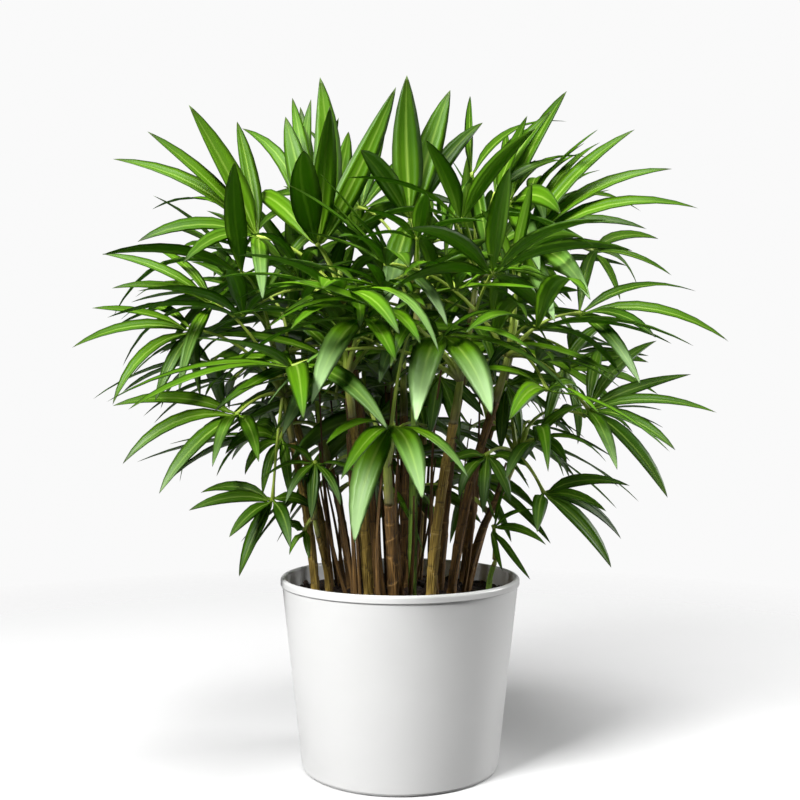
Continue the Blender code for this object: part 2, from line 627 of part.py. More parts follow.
def petiole_ways(start, hub):
    """Petiole routes to try: rising from the shoot, then over to the hub, with more bow."""
    span = hub - start
    length = np.linalg.norm(span)
    sideways = unit(np.cross(span, UP) + 1e-6)
    for bow in PETIOLE_BOWS:
        for rise in PETIOLE_RISES:
            control = start + span * PETIOLE_BEND + (UP * rise + sideways * bow) * length
            sunk = hub + unit(hub - control) * HUB_REACH * PETIOLE_SINK
            yield bezier(start, control, sunk, PETIOLE_STATIONS)


def petiole_radii():
    """A petiole's radius at its four stations."""
    return np.linspace(PETIOLE_RADIUS, PETIOLE_END, len(PETIOLE_STATIONS))


def hub_shape(hub):
    """A small box round the hub, which keeps other leaves off it."""
    half = HUB_REACH * HUB_GUARD
    corners = [(x, y, z) for x in (-half, half) for y in (-half, half) for z in (-half, half)]
    faces = [(0, 1, 3, 2), (4, 6, 7, 5), (0, 4, 5, 1), (2, 3, 7, 6), (0, 2, 6, 4), (1, 5, 7, 3)]
    return hub + np.array(corners), np.array(faces)


def place_petiole(thicket, stem, frond, shoot, hub):
    """The first petiole route from the shoot that is clear, or None."""
    if not thicket.is_clear(hub_shape(hub), stem, frond):
        return None
    radii = petiole_radii()
    for height in PETIOLE_STARTS:
        start = bezier(*shoot, [height])[0]
        for path in petiole_ways(start, hub):
            whole = ring_tube(path, radii + CLEARANCE, PETIOLE_SIDES)
            beyond = ring_tube(path[1:], radii[1:] + CLEARANCE, PETIOLE_SIDES)
            if not thicket.is_clear(beyond, stem, frond):
                continue
            if thicket.is_clear(whole, stem, frond, leaves_stem=True):
                thicket.add(ring_tube(path, radii, PETIOLE_SIDES), stem, frond, "petiole")
                thicket.add(hub_shape(hub), stem, frond, "hub")
                return path
    return None


def tip_choices(hub, tip, keep_sight):
    """Tips to try, nearest first: along the sight line for a seen frond, else round about."""
    span = tip - hub
    length = np.linalg.norm(span)
    if keep_sight:
        sight = unit(tip - np.array([0.0, -EYE_DISTANCE, EYE_HEIGHT])) * length
        for move in SIGHT_MOVES:
            yield tip + sight * move
        for share in SIGHT_SHARES:
            for move in SIGHT_SHORT_MOVES:
                yield hub + span * share + sight * move
        return
    sideways = unit(np.cross(span, UP) + 1e-6)
    for share in TIP_SHARES:
        for drop in TIP_DROPS:
            for move in TIP_MOVES:
                yield hub + (span + (UP * drop + sideways * move) * length) * share


def clear_blade(thicket, plan, roots, heading, tip, width, face_way, siblings):
    """The first bend of a blade that touches nothing, as (rings, tip), or None."""
    for choice in tip_choices(plan.hub, tip, plan.seen):
        if not plan.seen and not in_crown(choice, RULE_TIP_SHARE):
            continue
        for lift in LIFTS:
            rings = blade_rings(plan.hub, roots, heading, choice, lift, width, face_way)
            if siblings:
                near_root = search_tree(trial_blade(rings, choice, ROOT_SKIP, CLEARANCE / 2))
                if any(near_root.overlap(other) for other in siblings):
                    continue
            if thicket.is_clear(trial_blade(rings, choice, 0.0, CLEARANCE), plan.cane, plan.name):
                return rings, choice
    return None


def place_blades(thicket, plan):
    """The blades of one fan, each bent until it is clear.

    One with no clear way is left out, and the fan is spread again without it. It gives the
    fan's root points and its blades as (rings, tip), from left to right, and its upper side.
    """
    arrival = unit(plan.path[-1] - plan.path[-2])
    chosen = list(range(len(plan.tips)))
    while len(chosen) > 1:
        tips = [plan.tips[index] for index in chosen]
        middle, face_way, right = fan_frame(plan.hub, tips, arrival, plan.face)
        order, headings = fan_headings(plan.hub, tips, middle, face_way, right)
        roots = fan_roots(plan.hub, headings, face_way)
        kept = []
        siblings = []
        for place, (heading, index) in enumerate(zip(headings, order)):
            blade = clear_blade(thicket, plan, roots[place:place + 2], heading, tips[index],
                                plan.widths[chosen[index]], face_way, siblings)
            if blade is None:
                del chosen[index]
                break
            kept.append(blade)
            siblings.append(search_tree(trial_blade(*blade, ROOT_SKIP, 0.0)))
        else:
            for blade in kept:
                thicket.add(trial_blade(*blade, 0.0, 0.0), plan.cane, plan.name, "blade")
            return roots, kept, face_way
    return None


def seen_fronds():
    """The listed fronds with their hubs and tips moved to their depths."""
    for name, frond in SEEN_FRONDS.items():
        x, depth, z = frond.hub
        tips = []
        for tip_x, tip_z, lean, _ in frond.blades:
            flat = math.hypot(tip_x - x, tip_z - z)
            spare = math.sqrt(max(frond.reach ** 2 - flat ** 2, 0.0))
            tips.append(sighted(tip_x, tip_z, depth + lean * spare))
        yield name, frond.cane, sighted(x, z, depth), tips, [blade[3] for blade in frond.blades]


def draw_between(random, ends):
    """An even draw between two ends."""
    return ends[0] + (ends[1] - ends[0]) * random.random()


def rule_frond(random, shoot, centres):
    """A hub and a fan direction for one more frond: the draw furthest from the other fans."""
    best = None
    for _ in range(RULE_DRAWS):
        azimuth = draw_between(random, (0.0, 2 * math.pi))
        rise = draw_between(random, RULE_RISE)
        length = draw_between(random, RULE_PETIOLE)
        start = bezier(*shoot, [RULE_START])[0]
        flat = np.array([math.cos(azimuth), math.sin(azimuth), 0.0])
        way = flat * math.cos(rise) + UP * math.sin(rise)
        hub = start + way * length
        middle = unit((way + unit(hub - CROWN_CORE)) / 2 - RULE_SAG * UP)
        centre = hub + RULE_FAN_MIDDLE * middle
        if hub[2] < RULE_LOWEST_HUB or not in_crown(hub, RULE_HUB_SHARE):
            continue
        if not in_crown(hub + RULE_FAN_REACH * middle, RULE_FAN_SHARE):
            continue
        room = min(np.linalg.norm(centre - other) for other in centres)
        if best is None or room > best[0]:
            best = (room, hub, middle, centre)
    return best


def rule_tips(random, hub, middle):
    """Tips spread round the fan's middle direction: the side blades shorter, all drooping."""
    outward = unit(np.array([hub[0], hub[1], 0.0]) + 1e-6)
    face = unit(UP + RULE_FACE_OUT * outward + RULE_FACE_DRAW * (random.random(3) - 0.5))
    face_way = unit(face - middle * (face @ middle))
    right = np.cross(middle, face_way)
    count = int(random.integers(*RULE_BLADES))
    reach = draw_between(random, RULE_REACH)
    tips = []
    for angle in np.linspace(-RULE_SPREAD, RULE_SPREAD, count):
        angle = angle + draw_between(random, RULE_ANGLE_DRAW)
        length = reach * (RULE_SIDE_REACH + (1 - RULE_SIDE_REACH) * math.cos(angle))
        length *= draw_between(random, RULE_REACH_DRAW)
        droop = draw_between(random, RULE_DROOP)
        tip = hub + length * (math.cos(angle) * middle + math.sin(angle) * right - droop * UP)
        tips.append(tip)
    widths = [draw_between(random, RULE_WIDTH) for _ in tips]
    return tips, widths, face


def standing_stems(thicket):
    """Puts the pot, the soil, the canes and the shoots in the thicket, and gives the shoots."""
    rim = POT_HEIGHT + FIT_GAP * 10
    pot = np.array([[0.0, 0.0, 0.0], [0.0, 0.0, rim]])
    thicket.add(ring_tube(pot, [POT_FOOT_RADIUS, POT_TOP_RADIUS + LIP_PROUD], POT_STEPS), "pot")
    soil = np.array([[0.0, 0.0, POT_FLOOR], [0.0, 0.0, soil_height(0.0) + CLEARANCE]])
    thicket.add(ring_tube(soil, [POT_FOOT_RADIUS] * 2, SOIL_STEPS), "pot")
    shoots = []
    for index, cane in enumerate(CANES):
        thick = cane_radii(cane) * STEM_GUARD
        thicket.add(ring_tube(cane_path(cane), thick, CANE_SIDES), f"cane_{index}")
        shoots.append(shoot_path(cane))
        thick = shoot_radii(cane) * STEM_GUARD
        thicket.add(ring_tube(shoots[-1], thick, CANE_SIDES), index, None, "shoot")
    return shoots


def plan_fronds(thicket, shoots):
    """A plan for every frond whose petiole finds a way: the seen ones, then those of the rule."""
    random = np.random.default_rng(SEED)
    plans = []
    centres = []
    for name, cane, hub, tips, widths in seen_fronds():
        path = place_petiole(thicket, cane, name, shoots[cane], hub)
        if path is not None:
            face = UP + FACE_EYE * TOWARDS_EYE
            plans.append(Plan(cane, name, path, hub, tips, widths, face, True))
            centres.append((hub + np.mean(tips, axis=0)) / 2)
    turns = max(cane.extra for cane in CANES)
    due = [(turn, index) for turn in range(turns) for index in range(len(CANES))
           if turn < CANES[index].extra]
    for turn, index in due:
        found = rule_frond(random, shoots[index], centres)
        if found is None:
            continue
        _, hub, middle, centre = found
        tips, widths, face = rule_tips(random, hub, middle)
        name = f"rule_{turn}_{index}"
        path = place_petiole(thicket, index, name, shoots[index], hub)
        if path is not None:
            plans.append(Plan(index, name, path, hub, tips, widths, face, False))
            centres.append(centre)
    return plans


def grow():
    """All fronds of all crowns: {cane: [(petiole path, hub, roots, blades, upper side)]}."""
    thicket = Thicket()
    plans = plan_fronds(thicket, standing_stems(thicket))
    crowns = {index: [] for index in range(len(CANES))}
    placed = 0
    for plan in plans:
        fan = place_blades(thicket, plan)
        if fan is not None:
            placed += len(fan[1])
            crowns[plan.cane].append((plan.path, plan.hub, *fan))
    wanted = sum(len(plan.tips) for plan in plans)
    print(f"{len(plans)} fronds, {placed} of {wanted} blades placed")
    return crowns


def fuse(name, base, pieces, home):
    """One body from the base and a collection of pieces that are sunk into it."""
    join = base.modifiers.new("fuse", "BOOLEAN")
    join.operation = "UNION"
    join.operand_type = "COLLECTION"
    join.collection = pieces
    join.solver = "MANIFOLD"
    bpy.context.view_layer.update()
    graph = bpy.context.evaluated_depsgraph_get()
    mesh = bpy.data.meshes.new_from_object(base.evaluated_get(graph))
    mesh.name = name
    for obj in [base, *pieces.objects]:
        bpy.data.objects.remove(obj)
    bpy.data.collections.remove(pieces)
    joined = bpy.data.objects.new(name, mesh)
    home.objects.link(joined)
    return joined


def make_crown(index, cane, fronds, home, leaf):
    """A stem's green crown: its shoot, its petioles and their fans, fused into one body."""
    name = f"crown_{index + 1:02d}"
    shoot = tube(f"{name}_shoot", shoot_path(cane), shoot_radii(cane), CANE_SIDES, home)
    pieces = collection(f"{name}_pieces")
    for number, (path, hub, roots, blades, face_way) in enumerate(fronds):
        tube(f"{name}_petiole_{number}", path, petiole_radii(), PETIOLE_SIDES, pieces)
        mesh_object(f"{name}_fan_{number}", *fan_mesh(hub, roots, blades, face_way), pieces)
    finish(fuse(name, shoot, pieces, home), leaf)


def main():
    """Builds the canes and their crowns, then the pot and the soil."""
    clear_scene()
    palm = collection("potted_lady_palm")
    leaf = material("leaf_green", (0.045, 0.16, 0.02), 0.45)
    crowns = grow()
    for index, cane in enumerate(CANES):
        name = f"cane_{index + 1:02d}"
        stem = tube(name, cane_path(cane), cane_radii(cane), CANE_SIDES, palm)
        finish(stem, material(name, cane.colour, 0.7))
        make_crown(index, cane, crowns[index], palm, leaf)
    make_pot(palm)
    make_soil(palm, collection("cutters", hidden=True))


if __name__ == "__main__":
    main()
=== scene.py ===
# %% [markdown]
# # A potted lady palm
# A lady palm is a clump of thin canes, and every cane carries a crown of leaves that open like
# a hand. Here a slightly coarse model of it, the frame, is loaded first. The steps below keep
# its places and sizes and put finer surfaces in its place: smooth leaflets, fibrous canes, a
# glazed pot and crumbly soil.
#
# The box of the frame is kept at once, so that the finished plant can be measured against it.

# %% Load the frame
import math
from collections import namedtuple

import bpy
import numpy as np
from mathutils.bvhtree import BVHTree
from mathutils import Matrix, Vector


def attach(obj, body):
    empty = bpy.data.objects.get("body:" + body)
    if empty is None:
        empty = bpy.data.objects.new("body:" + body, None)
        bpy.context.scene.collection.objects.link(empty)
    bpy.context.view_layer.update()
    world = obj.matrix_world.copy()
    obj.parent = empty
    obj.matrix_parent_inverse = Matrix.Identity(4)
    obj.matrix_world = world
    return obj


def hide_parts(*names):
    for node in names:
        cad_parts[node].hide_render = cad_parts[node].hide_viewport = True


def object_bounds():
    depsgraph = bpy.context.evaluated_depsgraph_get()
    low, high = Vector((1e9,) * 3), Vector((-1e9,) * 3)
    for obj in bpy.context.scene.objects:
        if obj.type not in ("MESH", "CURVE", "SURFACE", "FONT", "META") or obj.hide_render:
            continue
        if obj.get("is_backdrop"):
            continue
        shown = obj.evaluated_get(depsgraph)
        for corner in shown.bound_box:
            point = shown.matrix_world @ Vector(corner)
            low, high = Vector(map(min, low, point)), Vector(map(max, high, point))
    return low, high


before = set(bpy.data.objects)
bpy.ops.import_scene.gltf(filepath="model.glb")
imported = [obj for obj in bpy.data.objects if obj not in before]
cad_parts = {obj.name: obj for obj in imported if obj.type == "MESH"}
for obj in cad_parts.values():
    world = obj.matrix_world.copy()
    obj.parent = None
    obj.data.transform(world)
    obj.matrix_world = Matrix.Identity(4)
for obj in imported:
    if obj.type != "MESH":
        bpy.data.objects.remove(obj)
cad_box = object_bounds()
print("frame box", [[round(float(value), 3) for value in corner] for corner in cad_box])

# %% [markdown]
# ## The sizes that the plant is built from
# The frame was drawn from named sizes, and the same ones are needed here, because every fine
# leaflet has to lie where its coarse one does. All are in metres, and -Y is the front.

# %% Sizes of the pot, the soil and the canes
POT_HEIGHT = 0.190
POT_TOP_RADIUS = 0.1195
POT_FOOT_RADIUS = 0.0985
POT_WALL = 0.005
POT_FLOOR = 0.008
POT_FOOT_EDGE = 0.003
LIP_HEIGHT = 0.0075
LIP_PROUD = 0.0008
POT_STEPS = 40
SOIL_BELOW_LIP = 0.019
SOIL_DOME = 0.004
SOIL_STEPS = 32
FIT_GAP = 0.0003
PLANTING_DEPTH = 0.035
STRAIGHT_FOOT = 0.016
CANE_LEAN = 0.55
CANE_TAPER = 0.85
CANE_SIDES = 6
SHOOT_TAPER = 0.45
SHOOT_LEAN_UP = 0.35

Cane = namedtuple("Cane", "foot top radius shoot finish extra")

# foot on the soil, top, radius, length of the shoot above, finish, fronds that the rule adds
CANES = (
    Cane((-0.084, -0.014), (-0.106, -0.028, 0.325), 0.0050, 0.085, "olive", 2),
    Cane((-0.030, -0.055), (-0.045, -0.080, 0.350), 0.0056, 0.075, "olive", 3),
    Cane((-0.021, -0.022), (-0.050, -0.020, 0.420), 0.0050, 0.080, "brown", 2),
    Cane((-0.006, -0.062), (-0.010, -0.090, 0.270), 0.0062, 0.070, "brown", 3),
    Cane((0.012, -0.038), (0.016, -0.045, 0.430), 0.0048, 0.085, "green", 2),
    Cane((0.029, -0.060), (0.050, -0.085, 0.345), 0.0056, 0.075, "olive", 3),
    Cane((0.050, -0.032), (0.093, -0.040, 0.365), 0.0052, 0.085, "brown", 2),
    Cane((0.040, 0.000), (0.072, 0.010, 0.445), 0.0050, 0.085, "brown", 2),
    Cane((0.066, -0.010), (0.100, -0.022, 0.275), 0.0046, 0.070, "brown", 1),
    Cane((0.086, -0.036), (0.091, -0.045, 0.206), 0.0030, 0.014, "green", 0),
    Cane((-0.072, 0.028), (-0.118, 0.045, 0.365), 0.0050, 0.085, "olive", 5),
    Cane((-0.040, 0.066), (-0.062, 0.112, 0.385), 0.0052, 0.085, "brown", 5),
    Cane((-0.008, 0.030), (-0.014, 0.052, 0.440), 0.0050, 0.090, "brown", 5),
    Cane((0.020, 0.072), (0.030, 0.118, 0.410), 0.0052, 0.085, "olive", 5),
    Cane((0.066, 0.042), (0.112, 0.074, 0.385), 0.0050, 0.085, "brown", 5),
    Cane((-0.069, -0.038), (-0.078, -0.056, 0.235), 0.0036, 0.036, "olive", 0),
    Cane((-0.050, 0.004), (-0.072, 0.008, 0.300), 0.0046, 0.070, "brown", 1),
    Cane((0.006, -0.006), (0.004, 0.006, 0.350), 0.0056, 0.080, "brown", 1),
    Cane((-0.026, 0.006), (-0.034, 0.020, 0.330), 0.0046, 0.070, "olive", 1),
)

# %% Sizes of the fronds
PETIOLE_RADIUS = 0.0020
PETIOLE_END = 0.0012
PETIOLE_SIDES = 4
HUB_REACH = 0.0070
ROOT_THICKNESS = 0.0024
BLADE_THICKNESS = 0.0017
BLADE_FOLD = 0.13
BLADE_LIFT = 0.20
BLADE_STATIONS = (0.36, 0.70)
BLADE_WIDTHS = (1.0, 0.70)
LEAST_SPREAD = math.radians(17)
SPREAD_ROUNDS = 40
HEADING_RISE = 0.3
ROOT_SHARE = 0.85
ROOT_SKIP = 0.06
CLEARANCE = 0.0006
HUB_GUARD = 0.7
STEM_GUARD = 1.15
ARRIVAL_SHARE = 0.35

# the bends to try, mildest first, as shares of a petiole's or a blade's length
PETIOLE_STARTS = (0.55, 0.35, 0.75, 0.9, 0.2)
PETIOLE_BOWS = (0.0, 0.12, -0.12, 0.24, -0.24, 0.36, -0.36, 0.5, -0.5)
PETIOLE_RISES = (0.30, 0.18, 0.42, 0.55)
PETIOLE_BEND = 0.45
PETIOLE_STATIONS = (0.0, 0.34, 0.68, 1.0)
PETIOLE_SINK = 0.3
SIGHT_MOVES = (0.0, 0.10, -0.10, 0.2, -0.2, 0.3, -0.3, 0.45, -0.45, 0.6, -0.6)
SIGHT_SHARES = (0.85, 0.7)
SIGHT_SHORT_MOVES = (0.0, 0.2, -0.2, 0.4, -0.4)
TIP_SHARES = (1.0, 0.8, 0.62)
TIP_DROPS = (0.0, -0.12, 0.12, -0.25, 0.25, 0.4)
TIP_MOVES = (0.0, 0.12, -0.12, 0.25, -0.25)
LIFTS = (BLADE_LIFT, BLADE_LIFT * 1.6, BLADE_LIFT * 0.4, BLADE_LIFT * 2.2)

# the viewer's eye, and the crown's outline as an oval that is a little square
EYE_DISTANCE = 1.10
EYE_HEIGHT = 0.367
CROWN_MIDDLE = np.array([0.0, 0.0, 0.440])
CROWN_HALF = np.array([0.325, 0.290, 0.252])
CROWN_POWER = 2.4
CROWN_CORE = np.array([0.0, 0.0, 0.35])
UP = np.array([0.0, 0.0, 1.0])
TOWARDS_EYE = np.array([0.0, -1.0, 0.0])
FACE_EYE = 0.8

# the rule for the fronds that have no place of their own
SEED = 10
RULE_DRAWS = 40
RULE_START = 0.6
RULE_TIP_SHARE = 0.98
RULE_SIDE_REACH = 0.78
RULE_REACH_DRAW = (0.94, 1.06)
RULE_SPREAD = math.radians(100)
RULE_ANGLE_DRAW = (-0.06, 0.06)
RULE_FACE_OUT = 0.5
RULE_FACE_DRAW = 0.25

# petiole length and rise, the fan's sag, where its middle and its reach are measured, how far
# out hub and fan may be, leaflet length, width, number and droop, and the lowest hub
Rule = namedtuple("Rule", "petiole rise sag middle reach hub_share fan_share length width count droop lowest")
OUTER = Rule((0.070, 0.165), np.radians((-15, 70)), 0.15, 0.07, 0.12, 0.72, 0.97,
             (0.130, 0.165), (0.016, 0.022), (6, 8), (0.10, 0.38), 0.270)

# %% [markdown]
# ## The fronds that the viewer knows
# A frond is one leaf: a stalk, the petiole, that ends in a hub from which the leaflets spread.
# Those at the front and at both sides are listed one by one. A hub is (x, depth, z), and each
# leaflet is (x, z, lean, width) of its tip as seen on the upright plane through the pot's axis.
# The lean says how the rest of its reach is spent: -1 towards the eye, 1 away from it.

# %% The listed fronds
Frond = namedtuple("Frond", "cane hub reach blades")

SEEN_FRONDS = {
    "high_left": Frond(2, (-0.143, -0.020, 0.532), 0.170, (
        (-0.291, 0.611, -0.3, 0.020), (-0.256, 0.639, -0.6, 0.020), (-0.214, 0.666, -0.3, 0.027),
        (-0.165, 0.649, 0.7, 0.017), (-0.251, 0.560, 0.7, 0.017), (-0.266, 0.527, -0.8, 0.016),
        (-0.220, 0.505, -0.9, 0.014), (-0.139, 0.468, -0.9, 0.016),
    )),
    "top_left": Frond(2, (-0.083, -0.055, 0.524), 0.165, (
        (-0.116, 0.654, 0.3, 0.020), (-0.109, 0.673, 0.7, 0.013), (-0.081, 0.694, -0.1, 0.024),
        (-0.071, 0.665, -0.7, 0.020), (-0.004, 0.684, -0.3, 0.020), (-0.052, 0.639, 0.7, 0.018),
        (-0.098, 0.620, -0.9, 0.027), (-0.143, 0.570, 0.8, 0.016),
    )),
    "upper_left": Frond(0, (-0.189, -0.050, 0.465), 0.135, (
        (-0.302, 0.515, -0.3, 0.016), (-0.292, 0.480, -0.7, 0.015), (-0.268, 0.471, 0.6, 0.014),
        (-0.253, 0.522, 0.5, 0.013), (-0.224, 0.375, -0.6, 0.015),
    )),
    "mid_left": Frond(0, (-0.209, -0.070, 0.438), 0.150, (
        (-0.312, 0.460, -0.6, 0.016), (-0.332, 0.420, -0.3, 0.020), (-0.291, 0.362, -0.5, 0.018),
        (-0.248, 0.366, -0.8, 0.016), (-0.202, 0.369, 0.6, 0.016), (-0.283, 0.448, 0.8, 0.014),
    )),
    "low_left": Frond(0, (-0.164, -0.060, 0.354), 0.140, (
        (-0.291, 0.361, -0.3, 0.019), (-0.281, 0.302, -0.5, 0.019), (-0.244, 0.272, -0.7, 0.022),
        (-0.223, 0.284, 0.6, 0.014), (-0.190, 0.299, -0.8, 0.017), (-0.143, 0.304, -0.8, 0.017),
        (-0.123, 0.333, 0.7, 0.014),
    )),
    "foot_left": Frond(0, (-0.129, -0.045, 0.267), 0.100, (
        (-0.214, 0.255, -0.3, 0.013), (-0.202, 0.273, 0.6, 0.012), (-0.173, 0.228, -0.5, 0.013),
        (-0.163, 0.188, -0.4, 0.016), (-0.111, 0.217, -0.8, 0.015), (-0.086, 0.254, 0.6, 0.012),
    )),
    "sucker_left": Frond(15, (-0.086, -0.075, 0.303), 0.070, (
        (-0.140, 0.286, -0.3, 0.011), (-0.116, 0.262, -0.6, 0.011), (-0.090, 0.246, -0.4, 0.012),
        (-0.060, 0.260, -0.5, 0.011), (-0.042, 0.292, -0.3, 0.011), (-0.122, 0.322, 0.5, 0.010),
    )),
    "rim_left": Frond(15, (-0.096, -0.050, 0.236), 0.042, (
        (-0.112, 0.210, -0.3, 0.008), (-0.092, 0.206, -0.6, 0.008), (-0.120, 0.242, 0.3, 0.008),
    )),
    "top": Frond(4, (0.011, -0.040, 0.551), 0.155, (
        (0.007, 0.696, -0.2, 0.027), (0.051, 0.681, 0.3, 0.024), (-0.040, 0.620, -0.7, 0.020),
        (0.084, 0.648, 0.7, 0.016), (0.012, 0.628, 0.8, 0.017), (-0.015, 0.463, -0.8, 0.024),
        (0.019, 0.456, -0.8, 0.025),
    )),
    "top_right": Frond(7, (0.073, 0.000, 0.595), 0.135, (
        (0.129, 0.647, -0.4, 0.016), (0.169, 0.649, 0.4, 0.014), (0.046, 0.508, -0.7, 0.025),
        (0.090, 0.501, -0.8, 0.025), (0.071, 0.675, 0.8, 0.016),
    )),
    "upper_right": Frond(7, (0.110, -0.015, 0.567), 0.150, (
        (0.169, 0.680, -0.3, 0.024), (0.188, 0.613, 0.5, 0.018), (0.107, 0.639, 0.8, 0.014),
        (0.142, 0.497, -0.8, 0.020), (0.163, 0.555, -0.9, 0.018),
    )),
    "high_right": Frond(6, (0.128, -0.045, 0.523), 0.170, (
        (0.238, 0.641, -0.3, 0.019), (0.276, 0.601, 0.2, 0.018), (0.302, 0.561, -0.2, 0.018),
        (0.203, 0.628, 0.7, 0.015), (0.193, 0.468, -0.8, 0.018), (0.157, 0.446, -0.9, 0.018),
    )),
    "back_right": Frond(7, (0.193, 0.045, 0.519), 0.115, (
        (0.262, 0.530, 0.5, 0.014), (0.275, 0.493, -0.4, 0.015), (0.241, 0.481, 0.7, 0.013),
        (0.223, 0.468, -0.8, 0.014),
    )),
    "mid_right": Frond(6, (0.181, -0.060, 0.455), 0.160, (
        (0.300, 0.477, 0.4, 0.018), (0.333, 0.426, -0.3, 0.019), (0.259, 0.430, -0.8, 0.015),
        (0.244, 0.382, -0.8, 0.016), (0.203, 0.519, 0.7, 0.015),
    )),
    "low_right": Frond(6, (0.190, -0.070, 0.359), 0.150, (
        (0.260, 0.427, 0.6, 0.015), (0.295, 0.393, 0.4, 0.017), (0.321, 0.354, -0.3, 0.018),
        (0.279, 0.316, -0.5, 0.018), (0.271, 0.268, -0.4, 0.020), (0.220, 0.296, -0.8, 0.017),
        (0.203, 0.418, 0.8, 0.015),
    )),
    "under_right": Frond(8, (0.137, -0.060, 0.327), 0.100, (
        (0.169, 0.303, -0.7, 0.014), (0.150, 0.294, -0.8, 0.014), (0.209, 0.304, 0.4, 0.013),
        (0.188, 0.362, 0.6, 0.014), (0.107, 0.286, -0.7, 0.015),
    )),
    "inner_right": Frond(8, (0.088, -0.070, 0.312), 0.075, (
        (0.060, 0.266, -0.4, 0.012), (0.084, 0.252, -0.6, 0.012), (0.112, 0.264, -0.3, 0.012),
        (0.128, 0.300, -0.6, 0.012), (0.050, 0.304, -0.3, 0.012),
    )),
    "behind_right": Frond(14, (0.165, 0.035, 0.400), 0.115, (
        (0.252, 0.405, 0.3, 0.014), (0.262, 0.372, -0.4, 0.014), (0.228, 0.340, -0.3, 0.014),
        (0.180, 0.322, 0.4, 0.014), (0.210, 0.445, 0.6, 0.013), (0.146, 0.335, -0.5, 0.014),
    )),
    "foot_right": Frond(8, (0.145, -0.045, 0.274), 0.105, (
        (0.233, 0.280, 0.3, 0.015), (0.209, 0.254, -0.5, 0.014), (0.224, 0.226, 0.5, 0.012),
        (0.214, 0.197, -0.3, 0.019), (0.139, 0.233, -0.7, 0.015),
    )),
    "sucker_right": Frond(9, (0.095, -0.056, 0.238), 0.062, (
        (0.148, 0.220, -0.3, 0.009), (0.132, 0.185, -0.3, 0.009), (0.104, 0.194, -0.3, 0.009),
        (0.136, 0.256, -0.3, 0.008), (0.110, 0.290, 0.1, 0.008), (0.078, 0.282, -0.3, 0.008),
    )),
    "front_left": Frond(1, (-0.035, -0.115, 0.450), 0.160, (
        (-0.189, 0.374, -0.3, 0.020), (-0.090, 0.362, -0.8, 0.022), (-0.004, 0.405, -0.9, 0.018),
        (-0.111, 0.438, -0.9, 0.017), (0.021, 0.423, -0.9, 0.016),
    )),
    "front_right": Frond(5, (0.041, -0.125, 0.433), 0.140, (
        (0.016, 0.343, -0.8, 0.027), (0.093, 0.351, -0.8, 0.027), (0.186, 0.355, -0.2, 0.017),
        (-0.010, 0.398, -0.8, 0.017), (0.132, 0.418, -0.8, 0.016),
    )),
    "front_low": Frond(3, (-0.007, -0.130, 0.341), 0.150, (
        (-0.046, 0.222, -0.6, 0.025), (0.023, 0.266, -0.8, 0.022), (0.069, 0.288, -0.5, 0.016),
        (-0.075, 0.322, -0.6, 0.016), (-0.060, 0.286, -0.8, 0.016),
    )),
}
print(len(CANES), "canes,", len(SEEN_FRONDS), "listed fronds")

# %% [markdown]
# ## The coarse shapes that the growth tries out
# Leaves that grow in a clump push past each other. To lay them the same way as in the frame,
# every petiole and leaflet is tried as a coarse shape, and the first bend that touches nothing
# is taken. The shapes are a tube with few sides and a folded blade of three rings.

# %% Curves and coarse tubes


def unit(vector):
    """The same direction with length one."""
    return vector / np.linalg.norm(vector)


def bezier(start, control, end, steps):
    """Points of a curve: (1-s)^2 start + 2s(1-s) control + s^2 end."""
    steps = np.asarray(steps)[:, None]
    return start * (1 - steps) ** 2 + control * 2 * steps * (1 - steps) + end * steps ** 2


def pot_radius(height):
    """The outer radius of the pot's straight wall: from the foot's to the top's, evenly."""
    return POT_FOOT_RADIUS + (POT_TOP_RADIUS - POT_FOOT_RADIUS) * height / POT_HEIGHT


def soil_height(radius):
    """The soil's surface: a low dome, highest in the middle, falling with radius squared."""
    wall = pot_radius(POT_HEIGHT - SOIL_BELOW_LIP) - POT_WALL
    return POT_HEIGHT - SOIL_BELOW_LIP + SOIL_DOME * (1.0 - (radius / wall) ** 2)


def cane_curve(cane):
    """A cane's foot in the soil, the end of its straight foot, its knee and its top."""
    foot = np.array([*cane.foot, soil_height(math.hypot(*cane.foot))])
    top = np.array(cane.top)
    lean = unit((top - foot) * (CANE_LEAN, CANE_LEAN, 1.0))
    below = foot - lean * PLANTING_DEPTH / lean[2]
    above = foot + lean * STRAIGHT_FOOT
    return below, above, above + lean * np.linalg.norm(top - above) / 2, top


def cane_path(cane):
    """The coarse cane: four points."""
    below, above, knee, top = cane_curve(cane)
    return np.array([below, above, bezier(above, knee, top, [0.5])[0], top])


def shoot_path(cane):
    """The green shoot: it goes on from the cane and turns up as it rises."""
    path = cane_path(cane)
    along = unit(path[3] - path[2])
    rise = unit(along + SHOOT_LEAN_UP * UP)
    start = path[3] + along * FIT_GAP
    knee = start + along * cane.shoot / 2
    return np.array([start, knee, knee + rise * cane.shoot / 2])


def ring_tube(points, radii, sides):
    """A coarse tube as points and four-sided faces: one ring of points a station."""
    points = np.asarray(points)
    along = np.gradient(points, axis=0)
    along /= np.linalg.norm(along, axis=1)[:, None]
    across = np.cross(along, (0.31, 0.95, 0.05))
    across /= np.linalg.norm(across, axis=1)[:, None]
    other = np.cross(along, across)
    angles = np.arange(sides) * 2 * math.pi / sides
    spokes = np.cos(angles)[:, None] * across[:, None] + np.sin(angles)[:, None] * other[:, None]
    rings = points[:, None] + np.asarray(radii)[:, None, None] * spokes
    start = np.arange(len(points) - 1)[:, None] * sides + np.arange(sides)
    turn = np.arange(len(points) - 1)[:, None] * sides + (np.arange(sides) + 1) % sides
    faces = np.stack([start, turn, turn + sides, start + sides], axis=-1).reshape(-1, 4)
    return rings.reshape(-1, 3), faces


